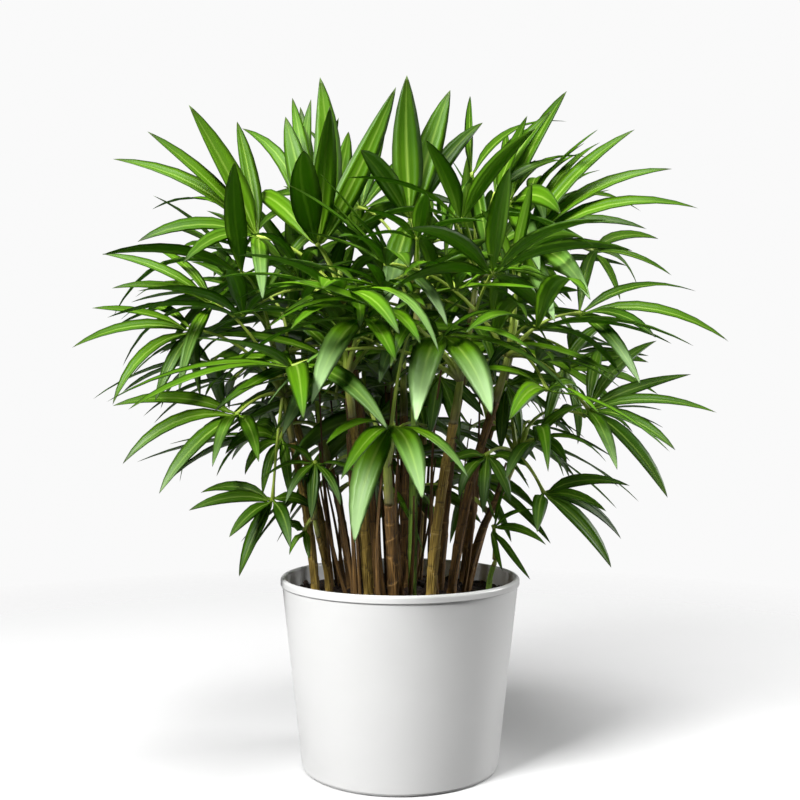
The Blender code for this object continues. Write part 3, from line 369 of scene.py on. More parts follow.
def search_tree(shape):
    """The shape's faces as a tree that finds where another one crosses them."""
    points, faces = shape
    return BVHTree.FromPolygons(points.tolist(), faces.tolist())


# %% The thicket that a new leaf is tried against
class Thicket:
    """Everything that already stands, so that a new leaf can be tried against it."""

    def __init__(self):
        self.trees = []
        self.labels = []
        self.low = np.empty((0, 3))
        self.high = np.empty((0, 3))

    def add(self, shape, stem, frond=None, kind="stem"):
        """Keeps a shape with the stem and the frond that it belongs to."""
        self.trees.append(search_tree(shape))
        self.labels.append((stem, frond, kind))
        self.low = np.vstack([self.low, shape[0].min(axis=0)])
        self.high = np.vstack([self.high, shape[0].max(axis=0)])

    def is_clear(self, shape, stem, frond, leaves_stem=False):
        """Whether the shape touches nothing but its own hub, or its own stem if it leaves it."""
        near = (self.low <= shape[0].max(axis=0)).all(axis=1)
        near &= (self.high >= shape[0].min(axis=0)).all(axis=1)
        tree = None
        for index in np.flatnonzero(near):
            other_stem, other_frond, kind = self.labels[index]
            if other_stem == stem:
                if leaves_stem or (other_frond == frond and kind == "hub"):
                    continue
            tree = tree or search_tree(shape)
            if tree.overlap(self.trees[index]):
                return False
        return True


def sighted(x, z, depth):
    """A point of the upright plane through the axis, moved along its sight line to a depth."""
    scale = 1.0 + depth / EYE_DISTANCE
    return np.array([x * scale, depth, EYE_HEIGHT + (z - EYE_HEIGHT) * scale])


def in_crown(point, share):
    """Whether a point is inside the crown's oval, seen from the front and in the round."""
    scale = 1.0 + point[1] / EYE_DISTANCE
    seen = np.array([point[0] / scale, EYE_HEIGHT + (point[2] - EYE_HEIGHT) / scale])
    flat = np.abs(seen - CROWN_MIDDLE[[0, 2]]) / CROWN_HALF[[0, 2]]
    solid = np.abs(point - CROWN_MIDDLE) / CROWN_HALF
    return max((flat ** CROWN_POWER).sum(), (solid ** CROWN_POWER).sum()) < share ** CROWN_POWER


# %% The coarse blade
Blade = namedtuple("Blade", "rings tip control heading width")
BAND = ((0, 1, 5), (0, 5, 4), (1, 2, 5), (2, 6, 5), (2, 3, 7), (2, 7, 6), (3, 0, 7), (0, 4, 7))


def coarse_blade(hub, roots, heading, tip, lift, width, face_way):
    """A blade of three rings: it leaves the hub on its heading and arches over to its tip.

    Each ring has the two edges, raised above the rib so that the blade is folded like a
    shallow V, and the rib's top and underside.
    """
    length = np.linalg.norm(tip - hub)
    towards = (tip - hub) / length
    arch = UP - towards * towards[2]
    control = hub + length * (unit(heading + towards) / 2 + lift * arch)
    steps = np.array([HUB_REACH / length, *BLADE_STATIONS])
    middle = bezier(hub, control, tip, steps)
    middle[0] = hub + heading * HUB_REACH
    tangent = (control - hub) * (1 - steps[:, None]) + (tip - control) * steps[:, None]
    tangent /= np.linalg.norm(tangent, axis=1)[:, None]
    side = np.cross(heading, face_way)
    side = side - tangent * (tangent @ side)[:, None]
    side /= np.linalg.norm(side, axis=1)[:, None]
    normal = np.cross(side, tangent)
    normal[0] = face_way
    widths = np.array([0.0, *BLADE_WIDTHS])[:, None] * width
    raised = widths * BLADE_FOLD * normal
    deep = np.array([ROOT_THICKNESS, BLADE_THICKNESS, BLADE_THICKNESS])[:, None] / 2 * normal
    rings = np.stack([middle - side * widths / 2 + raised, middle + deep,
                      middle + side * widths / 2 + raised, middle - deep], axis=1)
    rings[0, 0], rings[0, 2] = roots
    return Blade(rings, tip, control, heading, width)


def trial_blade(blade, from_root, clearance):
    """A blade's outside with a skin of clearance, from a share of its first band to its tip."""
    rings = blade.rings.copy()
    rings[0] += (rings[1] - rings[0]) * from_root
    side = rings[:, 2] - rings[:, 0]
    side /= np.linalg.norm(side, axis=1)[:, None]
    normal = rings[:, 1] - rings[:, 3]
    normal /= np.linalg.norm(normal, axis=1)[:, None]
    skin = np.stack([-side, normal, side, -normal], axis=1) * clearance
    last = blade.tip + skin[-1] + unit(blade.tip - rings[-1, 3]) * clearance
    points = np.concatenate([(rings + skin).reshape(-1, 3), last])
    bands = np.arange(0, len(points) - 4, 4)[:, None, None]
    return points, (bands + np.array(BAND)).reshape(-1, 3)


def fan_frame(hub, tips, arrival, face):
    """The middle direction of a fan, the way its upper face looks, and its right-hand side."""
    outward = np.array([unit(tip - hub) for tip in tips])
    middle = unit(outward.mean(axis=0) + ARRIVAL_SHARE * arrival)
    face_way = unit(face - middle * (face @ middle))
    return middle, face_way, np.cross(middle, face_way)


def fan_headings(hub, tips, middle, face_way, right):
    """The order of the blades from left to right, and the way each leaves the hub.

    Headings lie near the fan's own plane, and neighbours are kept LEAST_SPREAD apart.
    """
    outward = np.array([unit(tip - hub) for tip in tips])
    angles = np.arctan2(outward @ right, outward @ middle)
    order = np.argsort(angles)
    spread = angles[order]
    for _ in range(SPREAD_ROUNDS):
        short = LEAST_SPREAD - np.diff(spread)
        short[short < 0] = 0.0
        spread[:-1] -= short / 2
        spread[1:] += short / 2
    rise = np.clip(outward[order] @ face_way, -0.9, 0.9) * HEADING_RISE
    headings = (np.cos(spread)[:, None] * middle + np.sin(spread)[:, None] * right
                + rise[:, None] * face_way)
    return order, headings / np.linalg.norm(headings, axis=1)[:, None]


def fan_roots(hub, headings, face_way):
    """The points where neighbouring blades part: halfway between their headings, near the hub."""
    half_gap = LEAST_SPREAD / 2
    ends = []
    for heading, turn in ((headings[0], -half_gap), (headings[-1], half_gap)):
        side = unit(np.cross(heading, face_way))
        ends.append(heading * math.cos(turn) + side * math.sin(turn))
    between = (headings[:-1] + headings[1:]) / 2
    return hub + ROOT_SHARE * HUB_REACH * np.array([ends[0], *between, ends[1]])


# %% Petioles find their way
Petiole = namedtuple("Petiole", "start control end arrival")


def petiole_ways(start, hub):
    """Petiole routes to try: rising from the shoot, then over to the hub, with more bow."""
    span = hub - start
    length = np.linalg.norm(span)
    sideways = unit(np.cross(span, UP) + 1e-6)
    for bow in PETIOLE_BOWS:
        for rise in PETIOLE_RISES:
            control = start + span * PETIOLE_BEND + (UP * rise + sideways * bow) * length
            yield control, hub + unit(hub - control) * HUB_REACH * PETIOLE_SINK


def hub_shape(hub):
    """A small box round the hub, which keeps other leaves off it."""
    half = HUB_REACH * HUB_GUARD
    corners = [(x, y, z) for x in (-half, half) for y in (-half, half) for z in (-half, half)]
    faces = [(0, 1, 3, 2), (4, 6, 7, 5), (0, 4, 5, 1), (2, 3, 7, 6), (0, 2, 6, 4), (1, 5, 7, 3)]
    return hub + np.array(corners), np.array(faces)


def place_petiole(thicket, stem, frond, shoot, hub):
    """The first petiole route from the shoot that is clear, or None."""
    if not thicket.is_clear(hub_shape(hub), stem, frond):
        return None
    radii = np.linspace(PETIOLE_RADIUS, PETIOLE_END, len(PETIOLE_STATIONS))
    for height in PETIOLE_STARTS:
        start = bezier(*shoot, [height])[0]
        for control, sunk in petiole_ways(start, hub):
            path = bezier(start, control, sunk, PETIOLE_STATIONS)
            whole = ring_tube(path, radii + CLEARANCE, PETIOLE_SIDES)
            beyond = ring_tube(path[1:], radii[1:] + CLEARANCE, PETIOLE_SIDES)
            if not thicket.is_clear(beyond, stem, frond):
                continue
            if thicket.is_clear(whole, stem, frond, leaves_stem=True):
                thicket.add(ring_tube(path, radii, PETIOLE_SIDES), stem, frond, "petiole")
                thicket.add(hub_shape(hub), stem, frond, "hub")
                return Petiole(start, control, sunk, unit(path[-1] - path[-2]))
    return None


# %% Blades find their way
Plan = namedtuple("Plan", "cane name petiole hub tips widths face seen")


def tip_choices(hub, tip, keep_sight):
    """Tips to try, nearest first: along the sight line for a seen frond, else round about."""
    span = tip - hub
    length = np.linalg.norm(span)
    if keep_sight:
        sight = unit(tip - np.array([0.0, -EYE_DISTANCE, EYE_HEIGHT])) * length
        for move in SIGHT_MOVES:
            yield tip + sight * move
        for share in SIGHT_SHARES:
            for move in SIGHT_SHORT_MOVES:
                yield hub + span * share + sight * move
        return
    sideways = unit(np.cross(span, UP) + 1e-6)
    for share in TIP_SHARES:
        for drop in TIP_DROPS:
            for move in TIP_MOVES:
                yield hub + (span + (UP * drop + sideways * move) * length) * share


def clear_blade(thicket, plan, roots, heading, tip, width, face_way, siblings):
    """The first bend of a blade that touches nothing, or None."""
    for choice in tip_choices(plan.hub, tip, plan.seen):
        if not plan.seen and not in_crown(choice, RULE_TIP_SHARE):
            continue
        for lift in LIFTS:
            blade = coarse_blade(plan.hub, roots, heading, choice, lift, width, face_way)
            if siblings:
                near_root = search_tree(trial_blade(blade, ROOT_SKIP, CLEARANCE / 2))
                if any(near_root.overlap(other) for other in siblings):
                    continue
            if thicket.is_clear(trial_blade(blade, 0.0, CLEARANCE), plan.cane, plan.name):
                return blade
    return None


def place_blades(thicket, plan):
    """One fan's blades, each bent until it is clear, from left to right, and its upper side.

    One with no clear way is left out, and the fan is spread again without it.
    """
    chosen = list(range(len(plan.tips)))
    while len(chosen) > 1:
        tips = [plan.tips[index] for index in chosen]
        middle, face_way, right = fan_frame(plan.hub, tips, plan.petiole.arrival, plan.face)
        order, headings = fan_headings(plan.hub, tips, middle, face_way, right)
        roots = fan_roots(plan.hub, headings, face_way)
        kept = []
        siblings = []
        for place, (heading, index) in enumerate(zip(headings, order)):
            blade = clear_blade(thicket, plan, roots[place:place + 2], heading, tips[index],
                                plan.widths[chosen[index]], face_way, siblings)
            if blade is None:
                del chosen[index]
                break
            kept.append(blade)
            siblings.append(search_tree(trial_blade(blade, ROOT_SKIP, 0.0)))
        else:
            for blade in kept:
                thicket.add(trial_blade(blade, 0.0, 0.0), plan.cane, plan.name, "blade")
            return kept, face_way
    return None


# %% The listed fronds, and the rule for the others
def seen_fronds(listed):
    """The listed fronds with their hubs and tips moved to their depths."""
    for name, frond in listed.items():
        x, depth, z = frond.hub
        tips = []
        for tip_x, tip_z, lean, _ in frond.blades:
            flat = math.hypot(tip_x - x, tip_z - z)
            spare = math.sqrt(max(frond.reach ** 2 - flat ** 2, 0.0))
            tips.append(sighted(tip_x, tip_z, depth + lean * spare))
        yield name, frond.cane, sighted(x, z, depth), tips, [blade[3] for blade in frond.blades]


def draw_between(random, ends):
    """An even draw between two ends."""
    return ends[0] + (ends[1] - ends[0]) * random.random()


def rule_frond(random, shoot, centres, rule):
    """A hub and a fan direction for one more frond: the draw furthest from the other fans."""
    best = None
    for _ in range(RULE_DRAWS):
        azimuth = draw_between(random, (0.0, 2 * math.pi))
        rise = draw_between(random, rule.rise)
        length = draw_between(random, rule.petiole)
        start = bezier(*shoot, [RULE_START])[0]
        flat = np.array([math.cos(azimuth), math.sin(azimuth), 0.0])
        way = flat * math.cos(rise) + UP * math.sin(rise)
        hub = start + way * length
        middle = unit((way + unit(hub - CROWN_CORE)) / 2 - rule.sag * UP)
        centre = hub + rule.middle * middle
        if hub[2] < rule.lowest or not in_crown(hub, rule.hub_share):
            continue
        if not in_crown(hub + rule.reach * middle, rule.fan_share):
            continue
        room = min(np.linalg.norm(centre - other) for other in centres)
        if best is None or room > best[0]:
            best = (room, hub, middle, centre)
    return best


def rule_tips(random, hub, middle, rule):
    """Tips spread round the fan's middle direction: the side blades shorter, all drooping."""
    outward = unit(np.array([hub[0], hub[1], 0.0]) + 1e-6)
    face = unit(UP + RULE_FACE_OUT * outward + RULE_FACE_DRAW * (random.random(3) - 0.5))
    face_way = unit(face - middle * (face @ middle))
    right = np.cross(middle, face_way)
    count = int(random.integers(*rule.count))
    reach = draw_between(random, rule.length)
    tips = []
    for angle in np.linspace(-RULE_SPREAD, RULE_SPREAD, count):
        angle = angle + draw_between(random, RULE_ANGLE_DRAW)
        length = reach * (RULE_SIDE_REACH + (1 - RULE_SIDE_REACH) * math.cos(angle))
        length *= draw_between(random, RULE_REACH_DRAW)
        droop = draw_between(random, rule.droop)
        tips.append(hub + length * (math.cos(angle) * middle + math.sin(angle) * right - droop * UP))
    widths = [draw_between(random, rule.width) for _ in tips]
    return tips, widths, face


# %% Let the palm grow
def standing_stems(thicket):
    """Puts the pot, the soil, the canes and the shoots in the thicket, and gives the shoots."""
    rim = POT_HEIGHT + FIT_GAP * 10
    pot = np.array([[0.0, 0.0, 0.0], [0.0, 0.0, rim]])
    thicket.add(ring_tube(pot, [POT_FOOT_RADIUS, POT_TOP_RADIUS + LIP_PROUD], POT_STEPS), "pot")
    soil = np.array([[0.0, 0.0, POT_FLOOR], [0.0, 0.0, soil_height(0.0) + CLEARANCE]])
    thicket.add(ring_tube(soil, [POT_FOOT_RADIUS] * 2, SOIL_STEPS), "pot")
    shoots = []
    for index, cane in enumerate(CANES):
        thick = np.linspace(cane.radius, cane.radius * CANE_TAPER, 4) * STEM_GUARD
        thicket.add(ring_tube(cane_path(cane), thick, CANE_SIDES), f"cane_{index}")
        shoots.append(shoot_path(cane))
        thick = cane.radius * np.linspace(CANE_TAPER, SHOOT_TAPER, 3) * STEM_GUARD
        thicket.add(ring_tube(shoots[-1], thick, CANE_SIDES), index, None, "shoot")
    return shoots


def plan_fronds(thicket, shoots):
    """A plan for every frond whose petiole finds a way: the seen ones, then those of the rule."""
    random = np.random.default_rng(SEED)
    plans = []
    centres = []
    for name, cane, hub, tips, widths in seen_fronds(SEEN_FRONDS):
        petiole = place_petiole(thicket, cane, name, shoots[cane], hub)
        if petiole is not None:
            face = UP + FACE_EYE * TOWARDS_EYE
            plans.append(Plan(cane, name, petiole, hub, tips, widths, face, True))
            centres.append((hub + np.mean(tips, axis=0)) / 2)
    turns = max(cane.extra for cane in CANES)
    due = [(turn, index) for turn in range(turns) for index in range(len(CANES))
           if turn < CANES[index].extra]
    for turn, index in due:
        found = rule_frond(random, shoots[index], centres, OUTER)
        if found is None:
            continue
        _, hub, middle, centre = found
        tips, widths, face = rule_tips(random, hub, middle, OUTER)
        name = f"rule_{turn}_{index}"
        petiole = place_petiole(thicket, index, name, shoots[index], hub)
        if petiole is not None:
            plans.append(Plan(index, name, petiole, hub, tips, widths, face, False))
            centres.append(centre)
    return plans, centres


Grown = namedtuple("Grown", "name petiole hub blades face")


def grow():
    """All fronds of all crowns, {cane: [Grown]}, the filled thicket, and where the fans are."""
    thicket = Thicket()
    plans, centres = plan_fronds(thicket, standing_stems(thicket))
    crowns = {index: [] for index in range(len(CANES))}
    for plan in plans:
        fan = place_blades(thicket, plan)
        if fan is not None:
            crowns[plan.cane].append(Grown(plan.name, plan.petiole, plan.hub, *fan))
    return crowns, thicket, centres


def count(crowns):
    """How many fronds and leaflets there are, in words."""
    fronds = [frond for kept in crowns.values() for frond in kept]
    return f"{len(fronds)} fronds with {sum(len(frond.blades) for frond in fronds)} leaflets"


crowns, thicket, centres = grow()
print(count(crowns))

# %% [markdown]
# ## Young fronds that fill the inside
# The frame has the large fronds alone. The real clump is much denser: small young fronds stand
# between them, on the shoots and on the upper part of the canes, and close most of the gaps.
# They are grown here by the same rule with shorter petioles and leaflets, each one in the
# emptiest place that a few draws find, and only where its leaflets are clear of all others.

# %% Grow the young fronds
INNER = Rule((0.030, 0.105), np.radians((-25, 60)), 0.10, 0.05, 0.07, 0.66, 0.90,
             (0.070, 0.120), (0.010, 0.017), (5, 8), (0.0, 0.35), 0.232)
INNER_SEED = 3
INNER_TURNS = 6
CANE_PART = 0.42
CANE_CHANCE = 0.5
YOUNG_SHIFTS = (0.0, 0.02, -0.02, 0.04, -0.04, 0.06)
BARE_TOP = 0.38
BARE_HALF = 0.13


YOUNG_FRONDS = {
    "crest_left": Frond(2, (-0.094, -0.010, 0.535), 0.160, (
        (-0.160, 0.642, 0.5, 0.016), (-0.101, 0.664, 0.6, 0.018), (-0.090, 0.672, -0.4, 0.015),
        (-0.062, 0.653, -0.3, 0.018), (-0.133, 0.605, 0.2, 0.017),
    )),
    "crest_right": Frond(7, (0.096, -0.010, 0.575), 0.125, (
        (0.142, 0.646, 0.6, 0.020), (0.154, 0.660, 0.2, 0.022), (0.129, 0.655, -0.4, 0.018),
        (0.163, 0.610, 0.3, 0.016),
    )),
    "shoulder_right": Frond(7, (0.130, 0.010, 0.532), 0.145, (
        (0.244, 0.558, 0.5, 0.016), (0.213, 0.580, 0.6, 0.016), (0.203, 0.600, 0.7, 0.015),
        (0.193, 0.548, -0.4, 0.016), (0.250, 0.540, -0.3, 0.015),
    )),
    "shoulder_left": Frond(0, (-0.156, 0.010, 0.476), 0.110, (
        (-0.212, 0.507, 0.3, 0.014), (-0.217, 0.468, -0.3, 0.014), (-0.202, 0.433, 0.4, 0.014),
        (-0.187, 0.504, -0.6, 0.013), (-0.221, 0.486, 0.6, 0.013),
    )),
    "gap_right": Frond(8, (0.107, -0.020, 0.384), 0.105, (
        (0.102, 0.316, -0.6, 0.015), (0.122, 0.327, -0.3, 0.014), (0.163, 0.367, 0.5, 0.015),
        (0.178, 0.383, -0.2, 0.014), (0.082, 0.337, -0.7, 0.014), (0.147, 0.342, 0.6, 0.014),
    )),
    "gap_left": Frond(0, (-0.120, -0.020, 0.330), 0.090, (
        (-0.157, 0.291, -0.3, 0.014), (-0.139, 0.271, -0.5, 0.013), (-0.177, 0.312, 0.3, 0.014),
        (-0.111, 0.266, -0.7, 0.013), (-0.151, 0.327, 0.6, 0.013),
    )),
    "gap_middle": Frond(5, (0.040, -0.050, 0.392), 0.085, (
        (0.030, 0.330, -0.5, 0.014), (0.060, 0.325, -0.4, 0.014), (0.085, 0.350, 0.4, 0.013),
        (0.010, 0.345, 0.5, 0.013),
    )),
}


def upper_cane(cane):
    """The upper part of a cane as a curve of three points, as the shoot is one."""
    _, above, knee, top = cane_curve(cane)
    start = bezier(above, knee, top, [CANE_PART])[0]
    return np.array([start, knee * (1 - CANE_PART) + top * CANE_PART, top])


def place_listed(thicket, name, frond):
    """A listed young frond at the first depth that has room for its petiole and its fan."""
    x, depth, z = frond.hub
    face = UP + FACE_EYE * TOWARDS_EYE
    for shift in YOUNG_SHIFTS:
        moved = {name: frond._replace(hub=(x, depth + shift, z))}
        _, cane, hub, tips, widths = next(seen_fronds(moved))
        for stem in (shoot_path, upper_cane):
            petiole = place_petiole(thicket, cane, name, stem(CANES[cane]), hub)
            if petiole is None:
                continue
            fan = place_blades(thicket, Plan(cane, name, petiole, hub, tips, widths, face, True))
            if fan is not None:
                return Grown(name, petiole, hub, *fan)
    return None


def thicken(crowns, thicket, centres):
    """Adds young fronds to the crowns, in turns round the canes."""
    random = np.random.default_rng(INNER_SEED)
    own = {f"cane_{index}": index for index in range(len(CANES))}
    thicket.labels = [(own.get(stem, stem), frond, kind) for stem, frond, kind in thicket.labels]
    for name, frond in YOUNG_FRONDS.items():
        grown = place_listed(thicket, name, frond)
        if grown is None:
            print("no room for", name)
            continue
        crowns[frond.cane].append(grown)
        centres.append((grown.hub + np.mean([blade.tip for blade in grown.blades], axis=0)) / 2)
    for turn in range(INNER_TURNS):
        for index, cane in enumerate(CANES):
            low = random.random() < CANE_CHANCE
            stem = upper_cane(cane) if low else shoot_path(cane)
            found = rule_frond(random, stem, centres, INNER)
            if found is None:
                continue
            _, hub, middle, centre = found
            if hub[2] < BARE_TOP and hub[1] < 0 and abs(hub[0]) < BARE_HALF:
                continue
            tips, widths, face = rule_tips(random, hub, middle, INNER)
            name = f"young_{turn}_{index}"
            petiole = place_petiole(thicket, index, name, stem, hub)
            if petiole is None:
                continue
            centres.append(centre)
            plan = Plan(index, name, petiole, hub, tips, widths, face, False)
            fan = place_blades(thicket, plan)
            if fan is not None:
                crowns[index].append(Grown(name, petiole, hub, *fan))


thicken(crowns, thicket, centres)
print(count(crowns))

# %% [markdown]
# ## Helpers for meshes
# Every fine surface below is a grid of points: one direction runs along the piece, the other
# across or round it. The grid is worked out as one array, and the faces join each point to its
# neighbours. Two more things go with every point: its place on the pattern (UV), and a few
# values that the finish reads, such as how pale a leaflet is.

# %% Grids into objects
Surface = namedtuple("Surface", "points quads tips uv values material")


def grid_faces(rows, columns):
    """The corners of each cell of a grid that is closed round, with rows one after another."""
    row = np.arange(rows - 1)[:, None] * columns
    column = np.arange(columns)
    start = row + column
    turn = row + (column + 1) % columns
    return np.stack([start, turn, turn + columns, start + columns], axis=-1).reshape(-1, 4)


def pole_faces(rows, columns):
    """The triangles that close a grid at both ends, to two points that come after its rows."""
    around = np.arange(columns)
    onwards = (around + 1) % columns
    last = (rows - 1) * columns
    pole = np.full(columns, rows * columns)
    first_end = np.stack([pole, onwards, around], axis=1)
    last_end = np.stack([pole + 1, last + around, last + onwards], axis=1)
    return np.concatenate([first_end, last_end])


def closed_grids(rings, first, last, uv, values, material=0, turned=False):
    """Several closed bodies of one make: rings is [body, row, column, xyz], first and last [body, xyz].

    uv and values hold one number or pair for every ring point; the poles take the mean of the
    rings next to them. turned is for rings whose points run the other way round.
    """
    count, rows, columns = rings.shape[:3]
    size = rows * columns + 2

    def with_poles(grid):
        """A grid of numbers with its two poles added, body by body."""
        grid = np.broadcast_to(grid, (count, rows, columns) + grid.shape[3:])
        ends = np.stack([grid[:, 0].mean(axis=1), grid[:, -1].mean(axis=1)], axis=1)
        return np.concatenate([grid.reshape((count, rows * columns) + grid.shape[3:]), ends], axis=1)

    points = with_poles(rings)
    points[:, -2], points[:, -1] = first, last
    start = (np.arange(count) * size)[:, None, None]
    quads = (start + grid_faces(rows, columns)).reshape(-1, 4)
    tips = (start + pole_faces(rows, columns)).reshape(-1, 3)
    if turned:
        quads, tips = quads[:, ::-1], tips[:, ::-1]
    values = {name: with_poles(np.asarray(value, float)).ravel() for name, value in values.items()}
    return Surface(points.reshape(-1, 3), quads, tips, with_poles(uv).reshape(-1, 2), values, material)


def make_piece(name, surfaces, materials, node):
    """One object from several surfaces, riding on the plant; it stands for the node, if one is given."""
    starts = np.cumsum([0] + [len(surface.points) for surface in surfaces[:-1]])
    faces = []
    worn = []
    for surface, start in zip(surfaces, starts):
        faces += (surface.quads + start).tolist() + (surface.tips + start).tolist()
        worn += [surface.material] * (len(surface.quads) + len(surface.tips))
    mesh = bpy.data.meshes.new(name)
    mesh.from_pydata(np.concatenate([surface.points for surface in surfaces]).tolist(), [], faces)
    for kind in sorted(set().union(*(surface.values for surface in surfaces))):
        held = mesh.attributes.new(kind, "FLOAT", "POINT")
        held.data.foreach_set("value", np.concatenate([
            surface.values.get(kind, np.zeros(len(surface.points))) for surface in surfaces]))
    corner = np.empty(len(mesh.loops), np.int32)
    mesh.loops.foreach_get("vertex_index", corner)
    flat = np.concatenate([surface.uv for surface in surfaces])
    mesh.uv_layers.new(name="UVMap").data.foreach_set("uv", flat[corner].ravel())
    for material in materials:
        mesh.materials.append(material)
    mesh.polygons.foreach_set("material_index", worn)
    mesh.shade_smooth()
    mesh.update()
    piece = bpy.data.objects.new(name, mesh)
    bpy.context.scene.collection.objects.link(piece)
    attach(piece, "root")
    if node:
        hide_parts(node)
    return piece


def triangles(piece):
    """How many triangles a piece has."""
    return sum(len(face.vertices) - 2 for face in piece.data.polygons)


# %% Tubes along paths
def tubes(paths, radii, sides, values, material=0, reference=(0.31, 0.95, 0.05)):
    """Round stems along paths, all at once.

    paths is [stem, station, xyz] and radii [stem, station, side]: at each station a circle of
    that radius stands square across the path. The pattern's first direction goes round to the
    far side and back, so that it has no seam, and the second runs along the stem in metres.
    """
    along = np.gradient(paths, axis=1)
    along /= np.linalg.norm(along, axis=2, keepdims=True)
    across = np.cross(along, reference)
    across /= np.linalg.norm(across, axis=2, keepdims=True)
    other = np.cross(along, across)
    turn = np.arange(sides) * 2 * math.pi / sides
    spokes = np.cos(turn)[:, None] * across[:, :, None] + np.sin(turn)[:, None] * other[:, :, None]
    rings = paths[:, :, None] + radii[..., None] * spokes
    steps = np.linalg.norm(np.diff(paths, axis=1), axis=2)
    distance = np.concatenate([np.zeros((len(paths), 1)), steps.cumsum(axis=1)], axis=1)
    round_and_back = np.abs(np.arange(sides) * 2 / sides - 1)
    uv = np.stack(np.broadcast_arrays(round_and_back, distance[:, :, None]), axis=-1)
    tip = along[:, -1] * radii[:, -1].mean(axis=1)[:, None] / 2
    return closed_grids(rings, paths[:, 0], paths[:, -1] + tip, uv, values, material)


# %% [markdown]
# ## Helpers for finishes
# A finish is a shader: a few small nodes that turn a place on the surface into a colour, a
# roughness and a bump. The helpers place one node and link it in one line. Two effects are used
# by several finishes, so each is built once as a node group: fine streaks that run along a
# surface, and soft blotches.

# %% Node helpers
def put(tree, kind, inputs=None, **settings):
    """Adds a node. Each input is a number, a colour, or another node's output to link."""
    node = tree.nodes.new(kind)
    for name, value in settings.items():
        setattr(node, name, value)
    for name, value in (inputs or {}).items():
        if isinstance(value, bpy.types.NodeSocket):
            tree.links.new(value, node.inputs[name])
        else:
            node.inputs[name].default_value = value
    return node


def maths(tree, operation, first, second=0.0):
    """The result of one sum, product or other step on two numbers."""
    return put(tree, "ShaderNodeMath", {0: first, 1: second}, operation=operation, use_clamp=False).outputs[0]


def scaled(tree, value, low, high, new_low=0.0, new_high=1.0):
    """A number moved evenly from one range to another, and kept inside it."""
    inputs = {"Value": value, "From Min": low, "From Max": high, "To Min": new_low, "To Max": new_high}
    return put(tree, "ShaderNodeMapRange", inputs).outputs[0]


def blended(tree, factor, first, second, way="MIX"):
    """Two colours mixed by a factor."""
    mixer = put(tree, "ShaderNodeMix", {0: factor}, data_type="RGBA", blend_type=way)
    for place, colour in ((6, first), (7, second)):
        if isinstance(colour, bpy.types.NodeSocket):
            tree.links.new(colour, mixer.inputs[place])
        else:
            mixer.inputs[place].default_value = (*colour, 1.0)
    return mixer.outputs[2]


def ramp(tree, factor, stops):
    """A colour that changes along a factor, through (place, colour) stops."""
    node = put(tree, "ShaderNodeValToRGB", {"Fac": factor})
    points = node.color_ramp.elements
    for place, colour in stops[1:-1]:
        points.new(place).color = (*colour, 1.0)
    for point, (place, colour) in ((points[0], stops[0]), (points[len(points) - 1], stops[-1])):
        point.position, point.color = place, (*colour, 1.0)
    return node.outputs["Color"]


def new_material(name):
    """A material with its node tree and its Principled shader."""
    made = bpy.data.materials.new(name)
    made.use_nodes = True
    return made, made.node_tree, made.node_tree.nodes["Principled BSDF"]


def value_of(tree, name):
    """A value that the mesh carries for every point."""
    return put(tree, "ShaderNodeAttribute", attribute_name=name).outputs["Fac"]


# %% The two shared effects
def new_group(name, inputs, outputs):
    """An empty node group with named number and vector sockets, and its two end nodes."""
    group = bpy.data.node_groups.new(name, "ShaderNodeTree")
    for label, kind in inputs:
        group.interface.new_socket(label, in_out="INPUT", socket_type=kind)
    for label, kind in outputs:
        group.interface.new_socket(label, in_out="OUTPUT", socket_type=kind)
    return group, group.nodes.new("NodeGroupInput").outputs, group.nodes.new("NodeGroupOutput").inputs


def streaks_group():
    """Streaks: noise that is stretched along the surface's second direction, from 0 to 1."""
    group, given, out = new_group(
        "lengthwise_streaks",
        [("Vector", "NodeSocketVector"), ("Across", "NodeSocketFloat"), ("Along", "NodeSocketFloat"),
         ("Shift", "NodeSocketFloat")],
        [("Value", "NodeSocketFloat")])
    parts = put(group, "ShaderNodeSeparateXYZ", {0: given["Vector"]}).outputs
    across = maths(group, "MULTIPLY", parts["X"], given["Across"])
    along = maths(group, "MULTIPLY", parts["Y"], given["Along"])
    place = put(group, "ShaderNodeCombineXYZ", {"X": across, "Y": along, "Z": given["Shift"]}).outputs[0]
    noise = put(group, "ShaderNodeTexNoise", {"Vector": place, "Scale": 1.0, "Detail": 2.0}).outputs[0]
    group.links.new(scaled(group, noise, 0.3, 0.7), out["Value"])
    return group


def blotches_group():
    """Blotches: plain noise in metres, from 0 to 1."""
    group, given, out = new_group(
        "soft_blotches",
        [("Vector", "NodeSocketVector"), ("Scale", "NodeSocketFloat")], [("Value", "NodeSocketFloat")])
    noise = put(group, "ShaderNodeTexNoise",
                {"Vector": given["Vector"], "Scale": given["Scale"], "Detail": 3.0}).outputs[0]
    group.links.new(scaled(group, noise, 0.3, 0.7), out["Value"])
    return group


STREAKS = streaks_group()
BLOTCHES = blotches_group()


def streaks(tree, across, along, shift=0.0):
    """The streaks effect on the piece's own pattern."""
    place = put(tree, "ShaderNodeUVMap", uv_map="UVMap").outputs[0]
    inputs = {"Vector": place, "Across": across, "Along": along, "Shift": shift}
    return put_group(tree, STREAKS, inputs)


def blotches(tree, scale):
    """The blotches effect on the plant's own coordinates."""
    place = put(tree, "ShaderNodeTexCoord").outputs["Object"]
    return put_group(tree, BLOTCHES, {"Vector": place, "Scale": scale})


def put_group(tree, group, inputs):
    """Places a node group, sets or links its inputs, and gives its value."""
    node = tree.nodes.new("ShaderNodeGroup")
    node.node_tree = group
    for name, value in inputs.items():
        if isinstance(value, bpy.types.NodeSocket):
            tree.links.new(value, node.inputs[name])
        else:
            node.inputs[name].default_value = value
    return node.outputs["Value"]


